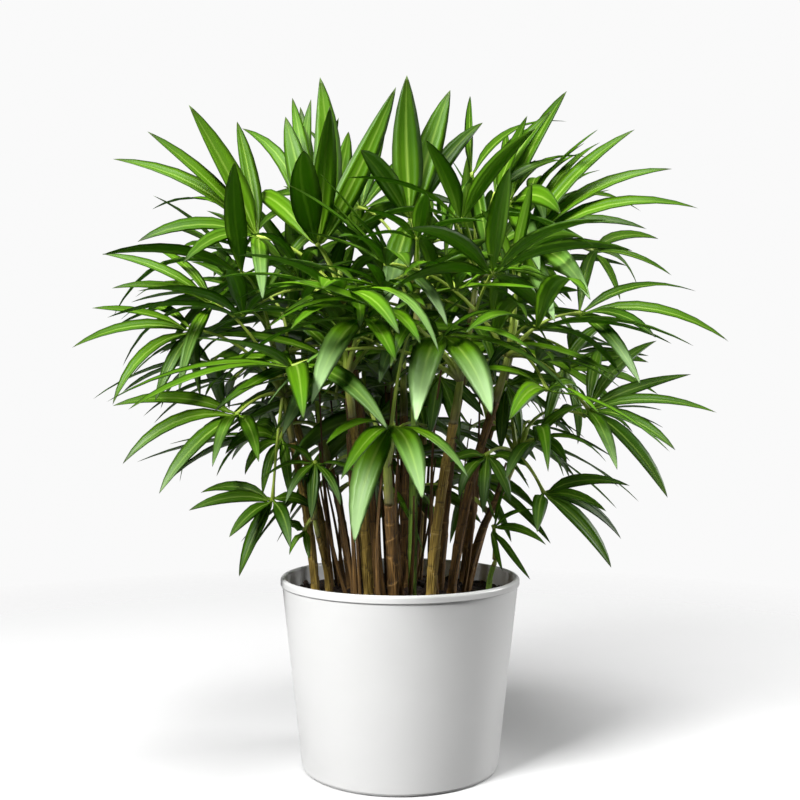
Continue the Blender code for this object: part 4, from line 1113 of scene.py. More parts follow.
def bumped(tree, height, distance, strength=1.0):
    """A normal that makes a height pattern look raised by a distance in metres."""
    inputs = {"Height": height, "Distance": distance, "Strength": strength}
    return put(tree, "ShaderNodeBump", inputs).outputs["Normal"]


print("node groups:", [group.name for group in (STREAKS, BLOTCHES)])

# %% [markdown]
# ## The leaf finish
# A palm leaflet is waxy. Its middle rib and the hub end are yellowish, the blade is a full green
# that darkens to the tip, fine ribs run its whole length, and the underside is paler and duller.
# Light also shines through it. The fronds at the front are painted paler, as if more lit than the
# shaded inside, and the leaflets that hang there get a painted sheen, a pale reflection of the soft
# lamps, towards their tips. One shader does all this from the leaflet's own pattern: the
# first direction runs across the blade and the second from hub to tip.

# %% Leaf
def leaf_material():
    """Green blade: ramps along the leaflet, a pale rib, fine streaks, painted light (paler front fronds, a
    painted sheen), and light let through.
    """
    made, tree, shader = new_material("leaf_green")
    place = put(tree, "ShaderNodeUVMap", uv_map="UVMap").outputs[0]
    parts = put(tree, "ShaderNodeSeparateXYZ", {0: place}).outputs
    along = parts["Y"]
    off_rib = maths(tree, "ABSOLUTE", maths(tree, "SUBTRACT", parts["X"], 0.5))
    tone, under = value_of(tree, "tone"), value_of(tree, "under")
    fine = streaks(tree, 26.0, 2.5, maths(tree, "MULTIPLY", tone, 40.0))
    deep = ramp(tree, along, ((0.0, (0.180, 0.330, 0.012)), (0.12, (0.042, 0.130, 0.003)),
                              (0.60, (0.025, 0.090, 0.002)), (0.88, (0.015, 0.052, 0.002)),
                              (0.95, (0.012, 0.016, 0.004)), (1.0, (0.014, 0.010, 0.004))))
    bright = ramp(tree, along, ((0.0, (0.420, 0.620, 0.040)), (0.15, (0.230, 0.500, 0.008)),
                                (0.60, (0.180, 0.440, 0.006)), (0.90, (0.090, 0.260, 0.005)),
                                (0.97, (0.030, 0.060, 0.005)), (1.0, (0.020, 0.018, 0.005))))
    # The tone mixes dark and bright green: partly random, partly painted light that is higher for the front
    # fronds
    green = blended(tree, tone, deep, bright)
    lines = maths(tree, "MULTIPLY", fine, scaled(tree, along, 0.5, 0.95, 0.22, 0.03))
    green = blended(tree, lines, green, (0.016, 0.070, 0.002))
    green = blended(tree, scaled(tree, blotches(tree, 18.0), 0.0, 1.0, 0.0, 0.25), green,
                    (0.190, 0.400, 0.008))
    rib = scaled(tree, off_rib, 0.015, 0.075, 1.0, 0.0)
    rib = maths(tree, "MULTIPLY", rib, scaled(tree, along, 0.1, 1.0, 0.75, 0.15))
    green = blended(tree, rib, green, (0.420, 0.640, 0.100))
    green = blended(tree, scaled(tree, off_rib, 0.36, 0.5, 0.0, 0.75), green, (0.010, 0.030, 0.002))
    # Painted sheen: leaflets that hang at the front are mixed towards pale mint from the middle to the tip, a
    # painted reflection of the soft lamps
    pale = maths(tree, "MULTIPLY", value_of(tree, "painted_sheen"), scaled(tree, along, 0.38, 0.95, 0.0, 0.95))
    pale = maths(tree, "MULTIPLY", pale, scaled(tree, off_rib, 0.30, 0.48, 1.0, 0.3))
    green = blended(tree, pale, green, (0.500, 0.740, 0.340))
    green = blended(tree, scaled(tree, under, 0.3, 1.0, 0.0, 0.45), green, (0.150, 0.290, 0.030))
    tree.links.new(green, shader.inputs["Base Color"])
    tree.links.new(scaled(tree, fine, 0.0, 1.0, 0.36, 0.48), shader.inputs["Roughness"])
    shader.inputs["Specular IOR Level"].default_value = 0.28
    pleats = maths(tree, "SINE", maths(tree, "MULTIPLY", off_rib, 26.0))
    height = maths(tree, "ADD", maths(tree, "MULTIPLY", pleats, 0.6), maths(tree, "MULTIPLY", fine, 0.3))
    height = maths(tree, "MULTIPLY", height, scaled(tree, along, 0.35, 0.80, 1.0, 0.0))
    normal = bumped(tree, height, 0.00025)
    tree.links.new(normal, shader.inputs["Normal"])
    through = put(tree, "ShaderNodeBsdfTranslucent",
                  {"Color": blended(tree, 0.5, green, (0.32, 0.66, 0.01)), "Normal": normal})
    both = put(tree, "ShaderNodeMixShader", {0: 0.22, 1: shader.outputs[0], 2: through.outputs[0]})
    tree.links.new(both.outputs[0], tree.nodes["Material Output"].inputs["Surface"])
    return made


LEAF = leaf_material()

# %% [markdown]
# ## The stalk and cane finishes
# Petioles and young shoots are smooth and yellow-green. At the foot of each one an old sheath
# of straw-coloured fibre is left, and lower down the whole cane is wrapped in such fibre, olive
# or brown, with painted shade, nearly black, in the narrow groove just above each ring's lip.

# %% Stalks and canes
def stalk_material():
    """Green stalk: fine streaks, and straw-coloured fibre where the mesh says it is old."""
    made, tree, shader = new_material("stalk_green")
    fine = streaks(tree, 9.0, 60.0)
    green = blended(tree, fine, (0.300, 0.460, 0.030), (0.560, 0.700, 0.110))
    fibre = blended(tree, fine, (0.075, 0.060, 0.018), (0.260, 0.190, 0.070))
    tree.links.new(blended(tree, value_of(tree, "age"), green, fibre), shader.inputs["Base Color"])
    tree.links.new(scaled(tree, fine, 0.0, 1.0, 0.38, 0.5), shader.inputs["Roughness"])
    tree.links.new(bumped(tree, fine, 0.0003), shader.inputs["Normal"])
    return made


def cane_material(name, dark, light, lip):
    """Fibrous cane: streaks from dark to light, a paler lip at every ring, and painted shade, nearly black, in
    the narrow groove just above it.
    """
    made, tree, shader = new_material(name)
    fine = streaks(tree, 16.0, 45.0)
    coarse = streaks(tree, 5.0, 14.0, 7.0)
    sheath = value_of(tree, "sheath")
    bark = blended(tree, fine, dark, light)
    bark = blended(tree, scaled(tree, coarse, 0.0, 1.0, 0.0, 0.45), bark, dark)
    bark = blended(tree, scaled(tree, sheath, 0.86, 1.0, 0.0, 0.7), bark, lip)
    # Painted shade: the lower end of every sheath, in the narrow groove just above the lip of the one below, is
    # mixed towards near black
    bark = blended(tree, scaled(tree, sheath, 0.0, 0.18, 0.75, 0.0), bark, (0.012, 0.009, 0.005))
    tree.links.new(bark, shader.inputs["Base Color"])
    tree.links.new(scaled(tree, fine, 0.0, 1.0, 0.55, 0.8), shader.inputs["Roughness"])
    tree.links.new(bumped(tree, maths(tree, "ADD", fine, coarse), 0.0006), shader.inputs["Normal"])
    return made


STALK = stalk_material()
CANE_FINISHES = {
    "olive": cane_material("cane_olive", (0.090, 0.055, 0.006), (0.620, 0.420, 0.080), (0.66, 0.48, 0.15)),
    "brown": cane_material("cane_brown", (0.035, 0.018, 0.004), (0.380, 0.200, 0.050), (0.48, 0.28, 0.09)),
    "green": cane_material("cane_green", (0.080, 0.160, 0.012), (0.300, 0.500, 0.060), (0.36, 0.40, 0.12)),
}

# %% [markdown]
# ## Leaflets
# Each leaflet is one closed surface with two parameters: s runs from the hub to the tip, and t
# across from edge to edge, over the top and back underneath. Its middle line is the same curve
# as in the frame, and its half width grows like a power of a sine and then narrows to a sharp
# tip. Across, it is folded like a shallow V. It could also be a flat picture of a leaf, but then
# the fold, the rib and the edge would be missing from the side.

# %% The leaflet surface
LEAF_STATIONS = np.array([0.0, 0.035, 0.08, 0.15, 0.25, 0.37, 0.50, 0.63, 0.76, 0.88, 0.96])
LEAF_ACROSS = np.array([-1.0, -0.5, 0.0, 0.5, 1.0, 0.5, 0.0, -0.5])
LEAF_SKIN = np.array([0.0, 1.0, 1.0, 1.0, 0.0, -1.0, -1.0, -1.0])
LEAF_WIDEST = 0.35
LEAF_HALF_THICK = 0.00022
ROOT_HALF_THICK = 0.0009
ROOT_LENGTH = 0.010
ROOT_WIDTH = 0.0022
LEAF_TWIST = 0.30
FOLD_ARCH = 0.02


def leaf_width(s):
    """Share of the full width: sine to the power 1.2 up to the widest place, then down to 0."""
    rise = np.sin(math.pi / 2 * np.clip(s / LEAF_WIDEST, 0, 1)) ** 1.2
    fall = 1 - np.clip((s - LEAF_WIDEST) / (1 - LEAF_WIDEST), 0, 1) ** 2.1
    return rise * fall ** 0.9


def leaflet_middles(hub, control, tip, heading):
    """The middle lines, [leaflet, station, xyz].

    The curve is the coarse blade's, moved near the hub so that it leaves on its heading: the
    move grows evenly up to HUB_REACH and fades by the first coarse station.
    """
    s = LEAF_STATIONS[:, None]
    curve = hub[:, None] * (1 - s) ** 2 + control[:, None] * 2 * s * (1 - s) + tip[:, None] * s ** 2
    length = np.linalg.norm(tip - hub, axis=1)
    near = (HUB_REACH / length)[:, None]
    at_near = hub * (1 - near) ** 2 + control * 2 * near * (1 - near) + tip * near ** 2
    move = hub + heading * HUB_REACH - at_near
    grows = np.minimum(LEAF_STATIONS / near, 1.0)
    fades = np.clip((BLADE_STATIONS[0] - LEAF_STATIONS) / (BLADE_STATIONS[0] - near), 0, 1) ** 2
    return curve + (grows * fades)[..., None] * move[:, None], length


def leaflets(hub, control, tip, heading, face, width, tone, painted_sheen, twist):
    """Closed leaflets, all at once: place = middle + side t w/2 + up (fold + skin thickness)."""
    middle, length = leaflet_middles(hub, control, tip, heading)
    tangent = np.gradient(middle, LEAF_STATIONS, axis=1)
    tangent /= np.linalg.norm(tangent, axis=2, keepdims=True)
    side = np.broadcast_to(np.cross(heading, face)[:, None], tangent.shape)
    side = side - tangent * (tangent * side).sum(axis=2, keepdims=True)
    side /= np.linalg.norm(side, axis=2, keepdims=True)
    up = np.cross(side, tangent)
    turn = (twist[:, None] * LEAF_STATIONS ** 1.3)[..., None]
    side, up = side * np.cos(turn) + up * np.sin(turn), up * np.cos(turn) - side * np.sin(turn)
    wide = width[:, None] * leaf_width(LEAF_STATIONS)
    root = np.exp(-LEAF_STATIONS * length[:, None] / ROOT_LENGTH)
    wide = np.hypot(wide, ROOT_WIDTH * root)[..., None]
    away = np.abs(LEAF_ACROSS)
    fold = wide * (BLADE_FOLD * away + FOLD_ARCH * np.sin(math.pi * away))
    thick = (LEAF_HALF_THICK + ROOT_HALF_THICK * root)[..., None] * (1 - 0.6 * away) * LEAF_SKIN
    rings = (middle[:, :, None] + side[:, :, None] * (LEAF_ACROSS * wide / 2)[..., None]
             + up[:, :, None] * (fold + thick)[..., None])
    uv = np.stack(np.broadcast_arrays((LEAF_ACROSS + 1) / 2, LEAF_STATIONS[:, None]), axis=-1)[None]
    values = {"tone": tone[:, None, None], "under": (LEAF_SKIN < 0).astype(float)[None, None],
              "age": np.zeros((1, 1, 1)), "painted_sheen": painted_sheen[:, None, None]}
    return closed_grids(rings, hub, tip, uv, values)


print("a leaflet has", (len(LEAF_STATIONS) - 1) * len(LEAF_ACROSS) + 2 * len(LEAF_ACROSS), "faces")

# %% [markdown]
# ## Petioles and shoots
# A petiole is a thin stalk that clasps the shoot at its foot, is slimmest in the middle, and
# swells where the leaflets leave it. The shoot is the cane's young end. Both are tubes whose
# radius changes along the path; the clasping foot is a swelling that dies away with distance.

# %% Petioles and shoots
STALK_STEPS = np.linspace(0.0, 1.0, 11)
STALK_SIDES = 8
SHOOT_STEPS = np.linspace(0.0, 1.0, 17)
SHOOT_SIDES = 10


def petiole_tubes(fronds):
    """The petioles of one crown: radius falls evenly, with a swelling at the foot and the hub."""
    s = STALK_STEPS[:, None]
    start, control, end = (np.array([frond.petiole[part] for frond in fronds])[:, None] for part in range(3))
    paths = start * (1 - s) ** 2 + control * 2 * s * (1 - s) + end * s ** 2
    length = np.linalg.norm(np.diff(paths, axis=1), axis=2).sum(axis=1)[:, None]
    radii = PETIOLE_RADIUS + (PETIOLE_END - PETIOLE_RADIUS) * STALK_STEPS
    foot = np.exp(-STALK_STEPS * length / 0.012)
    radii = radii + 0.0016 * foot + 0.0012 * np.exp(-(1 - STALK_STEPS) * length / 0.005)
    radii = np.repeat(radii[..., None], STALK_SIDES, axis=2)
    values = {"age": foot[..., None] * 0.9}
    return tubes(paths, radii, STALK_SIDES, values, material=1)


def shoot_tube(cane):
    """The shoot: three old sheaths, each a little wider at its upper lip, round a young stem."""
    start, knee, end = shoot_path(cane)
    path = bezier(start, knee, end, SHOOT_STEPS)[None]
    lip = (SHOOT_STEPS * 4) % 1.0
    radii = cane.radius * (CANE_TAPER + (SHOOT_TAPER - CANE_TAPER) * SHOOT_STEPS) * (0.92 + 0.2 * lip ** 2)
    radii[-1] *= 0.5
    radii = np.repeat(radii[None, :, None], SHOOT_SIDES, axis=2)
    age = (0.95 - 1.1 * SHOOT_STEPS).clip(0, 1)[None, :, None]
    values = {"age": age}
    return tubes(path, radii, SHOOT_SIDES, values, material=1)


# %% [markdown]
# ## Crowns
# Every crown becomes one piece: its shoot, its petioles and its leaflets. Each frond gets a tone
# of its own, drawn at random, and each leaflet differs a little. Painted light is added at the
# front: the fronds there are made paler, as if more lit than the shaded inside of the clump, and
# the leaflets that hang there get a painted sheen, a pale reflection of the soft lamps.

# %% Build the crowns
TONE_SEED = 4
FROND_TONE = (0.05, 0.50)
# Painted light: how much paler the fronds at the front are made, as if more lit than the shaded inside
FRONT_PAINTED_LIGHT = 0.45
LEAFLET_TONE = 0.15
FULLNESS = {"top_left": 1.25, "high_left": 1.2, "top": 1.15, "upper_right": 1.2, "high_right": 1.1,
            "front_left": 1.1, "front_right": 1.1, "front_low": 1.1, "upper_left": 0.9,
            "mid_left": 0.85, "low_left": 0.85, "low_right": 0.9, "mid_right": 0.9}


def frontness(place):
    """0 inside and at the back, 1 where the clump meets the viewer: a ramp in the depth."""
    return float(np.clip((-place[1] - 0.07) / 0.09, 0, 1) * np.clip((0.26 - abs(place[0])) / 0.08, 0, 1))


def hanging(hub, tip):
    """0 for a level leaflet to 1 for one that hangs: a ramp in its drop over its length."""
    return float(np.clip(((hub - tip)[2] / np.linalg.norm(hub - tip) - 0.35) / 0.25, 0, 1))


def make_crown(index, fronds, random):
    """One crown from all its fronds."""
    rows = []
    for frond in fronds:
        # Tone of the frond: a random draw, plus painted light that makes the fronds at the front paler
        frond_tone_and_painted_light = draw_between(random, FROND_TONE) + FRONT_PAINTED_LIGHT * frontness(frond.hub)
        fullness = FULLNESS.get(frond.name, 1.0)
        for blade in frond.blades:
            tone = frond_tone_and_painted_light + draw_between(random, (-LEAFLET_TONE, LEAFLET_TONE))
            # Painted sheen: how far the leaflet hangs at the front, where a pale reflection of the lamps is
            # painted on
            painted_sheen = frontness(blade.tip) * hanging(frond.hub, blade.tip)
            rows.append((frond.hub, blade.control, blade.tip, blade.heading, frond.face,
                         blade.width * fullness, tone, painted_sheen,
                         draw_between(random, (-LEAF_TWIST, LEAF_TWIST))))
    surfaces = [shoot_tube(CANES[index])]
    if rows:
        surfaces += [petiole_tubes(fronds), leaflets(*(np.array(column) for column in zip(*rows)))]
    number = f"{index + 1:02d}"
    return make_piece(f"fronds_{number}", surfaces, [LEAF, STALK], f"crown_{number}")


tone_draws = np.random.default_rng(TONE_SEED)
crown_pieces = [make_crown(index, fronds, tone_draws) for index, fronds in crowns.items()]
print(len(crown_pieces), "crowns,", sum(map(triangles, crown_pieces)), "triangles")

# %% [markdown]
# ## Canes
# The canes are wrapped in old leaf sheaths, one above the other like a stack of thin paper
# cups. The radius of a cane is a function of the height and the angle: it grows slowly up each
# sheath and drops at its slanting lip, and low ridges of fibre run along it.

# %% The cane surface
CANE_STATIONS = 72
CANE_ROUND = 14
SHEATH_LENGTH = 0.021
SHEATH_SLANT = 0.20
SHEATH_TURN = 2.4
SHEATH_STEP = 0.13
FIBRE_RIDGE = 0.03


def make_cane(index, cane, random):
    """One cane: a tube with sheaths, its radius = even taper x (0.9 + sheath + ridges)."""
    below, above, knee, top = cane_curve(cane)
    straight = np.linspace(below, above, 14)[:-1]
    path = np.concatenate([straight, bezier(above, knee, top, np.linspace(0, 1, CANE_STATIONS - 13))])
    height = np.linalg.norm(np.diff(path, axis=0), axis=1).cumsum()
    height = np.concatenate([[0.0], height])[:, None] / SHEATH_LENGTH + random.random()
    angle = np.arange(CANE_ROUND) * 2 * math.pi / CANE_ROUND
    sheath = (height + SHEATH_SLANT * np.cos(angle - SHEATH_TURN * height)) % 1.0
    ridges = np.sin(angle * 4 + 1.5 * np.sin(height * 1.7)) + np.sin(angle * 6 - height * 0.8)
    taper = np.linspace(1.0, CANE_TAPER, CANE_STATIONS)[:, None]
    radii = cane.radius * taper * (0.90 + SHEATH_STEP * sheath ** 2 + FIBRE_RIDGE * ridges)
    surface = tubes(path[None], radii[None], CANE_ROUND, {"sheath": sheath[None]}, reference=(0.0, 1.0, 0.0))
    number = f"{index + 1:02d}"
    return make_piece(f"stem_{number}", [surface], [CANE_FINISHES[cane.finish]], f"cane_{number}")


DRY_STALKS = 40
DRY_RADIUS = (0.0012, 0.0028)
DRY_TOP = (0.27, 0.40)
DRY_REACH = 0.080
DRY_STEPS = np.linspace(0.0, 1.0, 14)


def make_dry_stalks(random):
    """Thin dead stalks: curves from the soil that lean outwards, thinner upwards, a little bent."""
    angle = random.uniform(0.0, 2 * math.pi, DRY_STALKS)
    reach = DRY_REACH * np.sqrt(random.random(DRY_STALKS))
    foot = np.stack([reach * np.cos(angle), reach * np.sin(angle), soil_height(reach) - 0.006], axis=1)
    top = foot * (1.35, 1.35, 0.0) + random.normal(0.0, 0.012, (DRY_STALKS, 3)) * (1, 1, 0)
    top[:, 2] = random.uniform(*DRY_TOP, DRY_STALKS)
    middle = (foot + top) / 2 + random.normal(0.0, 0.008, (DRY_STALKS, 3)) * (1, 1, 0)
    s = DRY_STEPS[:, None]
    paths = foot[:, None] * (1 - s) ** 2 + middle[:, None] * 2 * s * (1 - s) + top[:, None] * s ** 2
    radii = random.uniform(*DRY_RADIUS, (DRY_STALKS, 1)) * (1 - 0.6 * DRY_STEPS)
    radii = np.repeat(radii[..., None], 6, axis=2)
    surface = tubes(paths, radii, 6, {"sheath": np.full((1, 1, 1), 0.5)}, reference=(0.0, 1.0, 0.0))
    return make_piece("dry_stalks", [surface], [CANE_FINISHES["brown"]], None)


cane_draws = np.random.default_rng(7)
cane_pieces = [make_cane(index, cane, cane_draws) for index, cane in enumerate(CANES)]
print(len(cane_pieces), "canes,", sum(map(triangles, cane_pieces)), "triangles")
dry_stalks = make_dry_stalks(np.random.default_rng(21))
print(DRY_STALKS, "dry stalks,", triangles(dry_stalks), "triangles")

# %% [markdown]
# ## Pot
# The pot is turned: one profile carried round the upright axis. It could be a cylinder with a
# rim added, but one profile gives the lip, the wall's thickness and the foot in one smooth
# surface. The glaze is white, with a soft gloss and a hardly visible unevenness.

# %% The turned surface
def turned_surface(profile, steps, values=None, ripple=None):
    """The profile (radius, height) swept round the axis: x = r cos a, y = r sin a, z = h."""
    radius, height = np.array(profile).T
    angle = np.arange(steps) * 2 * math.pi / steps
    rings = np.stack(np.broadcast_arrays(radius[:, None] * np.cos(angle), radius[:, None] * np.sin(angle),
                                         height[:, None]), axis=-1)
    if ripple is not None:
        rings[..., 2] += ripple(rings)
    first, last = rings[0].mean(axis=0), rings[-1].mean(axis=0)
    uv = np.zeros((1, 1, 1, 2))
    return closed_grids(rings[None], first[None], last[None], uv, values or {}, turned=True)


def arc(middle, height, half, start, end, count):
    """Points of an arc in the profile's plane, from one angle to another in degrees."""
    turn = np.radians(np.linspace(start, end, count))
    return np.stack([middle + half * np.cos(turn), height + half * np.sin(turn)], axis=1)


# %% Glaze
def glaze_material():
    """White glaze: warm white, blotches of hardly visible gloss and a very low wave."""
    made, tree, shader = new_material("white_glaze")
    cloud = blotches(tree, 9.0)
    tree.links.new(blended(tree, cloud, (0.83, 0.83, 0.82), (0.87, 0.87, 0.86)), shader.inputs["Base Color"])
    tree.links.new(scaled(tree, cloud, 0.0, 1.0, 0.28, 0.36), shader.inputs["Roughness"])
    tree.links.new(bumped(tree, cloud, 0.0002), shader.inputs["Normal"])
    shader.inputs["Coat Weight"].default_value = 0.2
    shader.inputs["Coat Roughness"].default_value = 0.08
    return made


# %% Build the pot
EDGE_RINGS = np.array([0.0, 0.4, 1.2, 2.6])


def make_pot():
    """The pot: floor, inner wall, rolled lip, outer wall, rounded foot, underside."""
    lip_middle = POT_TOP_RADIUS + (LIP_PROUD - POT_WALL) / 2
    lip_half = (POT_WALL + LIP_PROUD) / 2
    crest = POT_HEIGHT - lip_half
    under_lip = POT_HEIGHT - LIP_HEIGHT
    inner = pot_radius(POT_FLOOR) - POT_WALL
    foot = pot_radius(0.0) - POT_FOOT_EDGE
    edges = EDGE_RINGS * 0.001
    wall = np.concatenate([under_lip - 0.0002 - edges, np.linspace(under_lip - 0.006, POT_FOOT_EDGE + 0.004, 22),
                           POT_FOOT_EDGE + edges[::-1]])
    throat = lip_middle - lip_half
    slope = (throat - inner) / (crest - POT_FLOOR - 0.006)
    inside = np.concatenate([POT_FLOOR + 0.006 + edges, np.linspace(POT_FLOOR + 0.012, crest - 0.008, 12),
                             crest - 0.0005 - edges[::-1]])
    profile = np.concatenate([
        [(0.004, POT_FLOOR), (inner * 0.6, POT_FLOOR), (inner - 0.002, POT_FLOOR), (inner, POT_FLOOR + 0.002)],
        np.stack([inner + slope * (inside - POT_FLOOR - 0.006), inside], axis=1),
        arc(lip_middle, crest, lip_half, 180, 0, 13),
        np.linspace((lip_middle + lip_half, crest - 0.001), (lip_middle + lip_half, under_lip + 0.0014), 4),
        arc(lip_middle + lip_half - 0.0009, under_lip + 0.0008, 0.0009, 0, -80, 5),
        np.stack([pot_radius(wall), wall], axis=1),
        arc(foot, POT_FOOT_EDGE, POT_FOOT_EDGE, -8, -90, 7),
        [(foot * 0.6, 0.0), (0.004, 0.0)],
    ])
    surface = turned_surface(profile, 144)
    return make_piece("glazed_pot", [surface], [glaze_material()], "pot")


pot = make_pot()
print("pot:", triangles(pot), "triangles")

# %% [markdown]
# ## Soil
# Potting soil is a dark mix with crumbs of many sizes. Its surface is a disc whose height is the
# frame's low dome plus many small waves in random directions. The crumbs are one lump, squashed
# and turned in a different way every time. Brown bits lie between the nearly black ones.

# %% The soil's surface and crumbs
SOIL_ROUND = 120
SOIL_RINGS = 56
SOIL_WAVES = 60
SOIL_WAVE_HEIGHT = 0.00030
CRUMBS = 420
CRUMB_SIZE = (0.0010, 0.0030)


def soil_ripple(random):
    """A function that adds small waves to the rings' heights: a sum of sines in many directions."""
    way = random.normal(size=(SOIL_WAVES, 2))
    way *= (2 * math.pi / random.uniform(0.006, 0.040, SOIL_WAVES) / np.linalg.norm(way, axis=1))[:, None]
    start = random.uniform(0, 2 * math.pi, SOIL_WAVES)
    top = POT_HEIGHT - SOIL_BELOW_LIP - 0.001

    def ripple(points):
        waves = np.sin(points[..., :2] @ way.T + start).sum(axis=-1) * SOIL_WAVE_HEIGHT
        return np.where(points[..., 2] > top, waves, 0.0)
    return ripple


def crumb_surfaces(random, ripple):
    """Lumps on the soil: points of a ball, stretched by a random 3 x 3 matrix and set down."""
    polar = np.radians([30, 75, 120, 155])[:, None]
    around = np.arange(6) * math.pi / 3
    ball = np.stack(np.broadcast_arrays(np.sin(polar) * np.cos(around), np.sin(polar) * np.sin(around),
                                        np.cos(polar)), axis=-1)
    poles = np.array([[0.0, 0.0, 1.0], [0.0, 0.0, -1.0]])
    reach = 0.104 * np.sqrt(random.random(CRUMBS))
    angle = random.uniform(0, 2 * math.pi, CRUMBS)
    place = np.stack([reach * np.cos(angle), reach * np.sin(angle)], axis=1)
    size = random.uniform(*CRUMB_SIZE, CRUMBS) ** 1.0
    shape = np.eye(3) + random.uniform(-0.45, 0.45, (CRUMBS, 3, 3))
    shape *= size[:, None, None]
    height = POT_HEIGHT - SOIL_BELOW_LIP + SOIL_DOME * (1 - (reach / 0.1138) ** 2)
    middle = np.concatenate([place, height[:, None]], axis=1)
    middle[:, 2] += ripple(middle) + size * 0.3
    dent = random.uniform(0.75, 1.15, (CRUMBS, 4, 6, 1))
    rings = np.einsum("brcx,bxy->brcy", ball[None] * dent, shape) + middle[:, None, None]
    ends = np.einsum("px,bxy->bpy", poles, shape) + middle[:, None]
    tone = random.random((CRUMBS, 1, 1))
    uv = np.zeros((1, 1, 1, 2))
    return closed_grids(rings, ends[:, 0], ends[:, 1], uv, {"tone": tone}, turned=True)


def soil_material():
    """Potting mix: nearly black with brown and a few pale fibres, rough and crumbly."""
    made, tree, shader = new_material("potting_soil")
    coarse, fine = blotches(tree, 90.0), blotches(tree, 420.0)
    earth = blended(tree, coarse, (0.008, 0.0055, 0.004), (0.045, 0.024, 0.014))
    earth = blended(tree, maths(tree, "POWER", value_of(tree, "tone"), 3.0), earth, (0.085, 0.042, 0.020))
    earth = blended(tree, scaled(tree, fine, 0.75, 1.0, 0.0, 0.5), earth, (0.10, 0.07, 0.045))
    tree.links.new(earth, shader.inputs["Base Color"])
    tree.links.new(scaled(tree, fine, 0.0, 1.0, 0.8, 0.95), shader.inputs["Roughness"])
    tree.links.new(bumped(tree, maths(tree, "ADD", coarse, fine), 0.0015), shader.inputs["Normal"])
    return made


# %% Build the soil
def make_soil():
    """The soil: rings out over the dome, then down the pot's inside and in under it."""
    random = np.random.default_rng(12)
    top = POT_HEIGHT - SOIL_BELOW_LIP
    floor = POT_FLOOR + FIT_GAP
    rim = pot_radius(top) - POT_WALL - 2 * FIT_GAP
    foot = pot_radius(floor) - POT_WALL - 2 * FIT_GAP
    reach = np.linspace(0.001, rim, SOIL_RINGS)
    profile = np.concatenate([np.stack([reach, soil_height(reach)], axis=1),
                              [(rim - 0.001, top - 0.004), (foot, floor), (0.004, floor)]])
    ripple = soil_ripple(random)
    surface = turned_surface(profile, SOIL_ROUND, {"tone": np.zeros((1, 1, 1))}, ripple)
    crumbs = crumb_surfaces(random, ripple)
    return make_piece("potting_soil", [surface, crumbs], [soil_material()], "soil")


soil = make_soil()
print("soil:", triangles(soil), "triangles")

# %% [markdown]
# ## Studio
# The plant stands on a pale floor that fades into a white background. A large soft lamp hangs
# above and to the left, a broad one above, and a small one behind to the right. The camera
# stands level in front, at the height of the leaves.

# %% Floor and background
BACKGROUND = 0.955


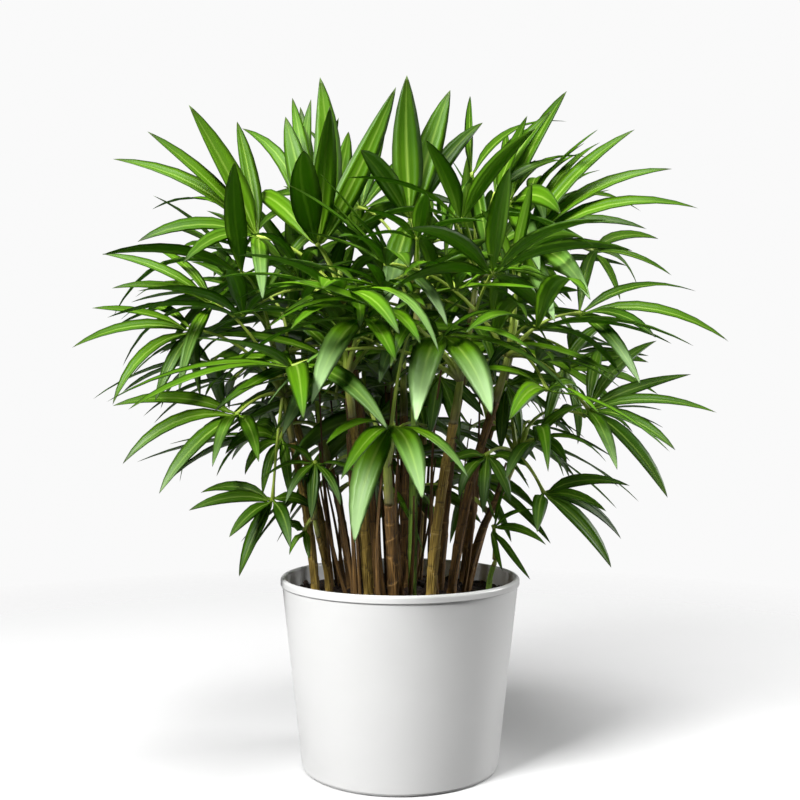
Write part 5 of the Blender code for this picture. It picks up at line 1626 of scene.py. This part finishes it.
def make_floor():
    """A pale floor: a disc that lets the background through towards its rim."""
    steps = 96
    radius = np.array([0.25, 0.5, 1.0, 2.0, 3.0])[:, None]
    angle = np.arange(steps) * 2 * math.pi / steps
    rings = np.stack(np.broadcast_arrays(radius * np.cos(angle), radius * np.sin(angle), 0.0), axis=-1)
    points = np.concatenate([rings.reshape(-1, 3), np.zeros((1, 3))])
    faces = grid_faces(len(radius), steps)[:, ::-1].tolist()
    faces += [(len(points) - 1, index, (index + 1) % steps) for index in range(steps)]
    mesh = bpy.data.meshes.new("floor")
    mesh.from_pydata(points.tolist(), [], faces)
    made, tree, shader = new_material("floor_white")
    place = put(tree, "ShaderNodeTexCoord").outputs["Object"]
    far = put(tree, "ShaderNodeVectorMath", {0: place}, operation="LENGTH").outputs["Value"]
    tree.links.new(scaled(tree, far, 0.30, 1.3, 1.0, 0.0), shader.inputs["Alpha"])
    tree.links.new(blended(tree, blotches(tree, 3.0), (0.80, 0.80, 0.80), (0.82, 0.82, 0.82)),
                   shader.inputs["Base Color"])
    shader.inputs["Roughness"].default_value = 0.6
    mesh.materials.append(made)
    floor = bpy.data.objects.new("floor", mesh)
    floor.visible_diffuse = False
    bpy.context.scene.collection.objects.link(floor)
    floor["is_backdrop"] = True


def make_world(fill):
    """White to the camera, and a weaker white light on the plant from all round."""
    world = bpy.data.worlds.new("studio")
    world.use_nodes = True
    tree = world.node_tree
    seen = put(tree, "ShaderNodeLightPath").outputs["Is Camera Ray"]
    strength = scaled(tree, seen, 0.0, 1.0, fill, BACKGROUND)
    tree.links.new(strength, tree.nodes["Background"].inputs["Strength"])
    tree.nodes["Background"].inputs["Color"].default_value = (1.0, 1.0, 1.0, 1.0)
    bpy.context.scene.world = world


make_floor()
make_world(0.035)


# %% Lamps
def lamp(name, place, target, size, power, colour=(1.0, 1.0, 1.0)):
    """A square soft lamp at a place, turned towards a target."""
    light = bpy.data.lights.new(name, "AREA")
    light.size = size
    light.energy = power
    light.color = colour
    held = bpy.data.objects.new(name, light)
    held.location = place
    way = np.array(target) - np.array(place)
    flat = math.hypot(way[0], way[1])
    held.rotation_euler = (math.atan2(flat, -way[2]), 0.0, math.atan2(-way[0], way[1]))
    bpy.context.scene.collection.objects.link(held)


lamp("key", (-1.25, -1.45, 1.7), (0.0, 0.0, 0.35), 0.8, 92.0)
lamp("above", (0.1, -0.5, 2.0), (0.0, 0.0, 0.4), 1.1, 36.0)
lamp("behind", (1.8, 0.35, 0.8), (0.0, 0.0, 0.3), 0.8, 26.0)

# %% Camera
IMAGE_HALF_WIDTH = 0.40505


def make_camera():
    """A level camera in front, whose picture is 2 x IMAGE_HALF_WIDTH wide at the pot's axis."""
    lens = bpy.data.cameras.new("camera")
    lens.sensor_width = 36.0
    lens.lens = lens.sensor_width / 2 * EYE_DISTANCE / IMAGE_HALF_WIDTH
    camera = bpy.data.objects.new("camera", lens)
    camera.location = (0.0, -EYE_DISTANCE, EYE_HEIGHT)
    camera.rotation_euler = (math.pi / 2, 0.0, 0.0)
    bpy.context.scene.collection.objects.link(camera)
    bpy.context.scene.camera = camera


make_camera()
bpy.context.scene.view_settings.view_transform = "Standard"

# %% [markdown]
# ## Measure and finish
# The finished plant's box is set beside the frame's, so that nothing has grown out of it.

# %% Sizes
full_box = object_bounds()
[[list(map(float, corner)) for corner in box] for box in (cad_box, full_box)]
print("plant box", [[round(float(value), 3) for value in corner] for corner in full_box])
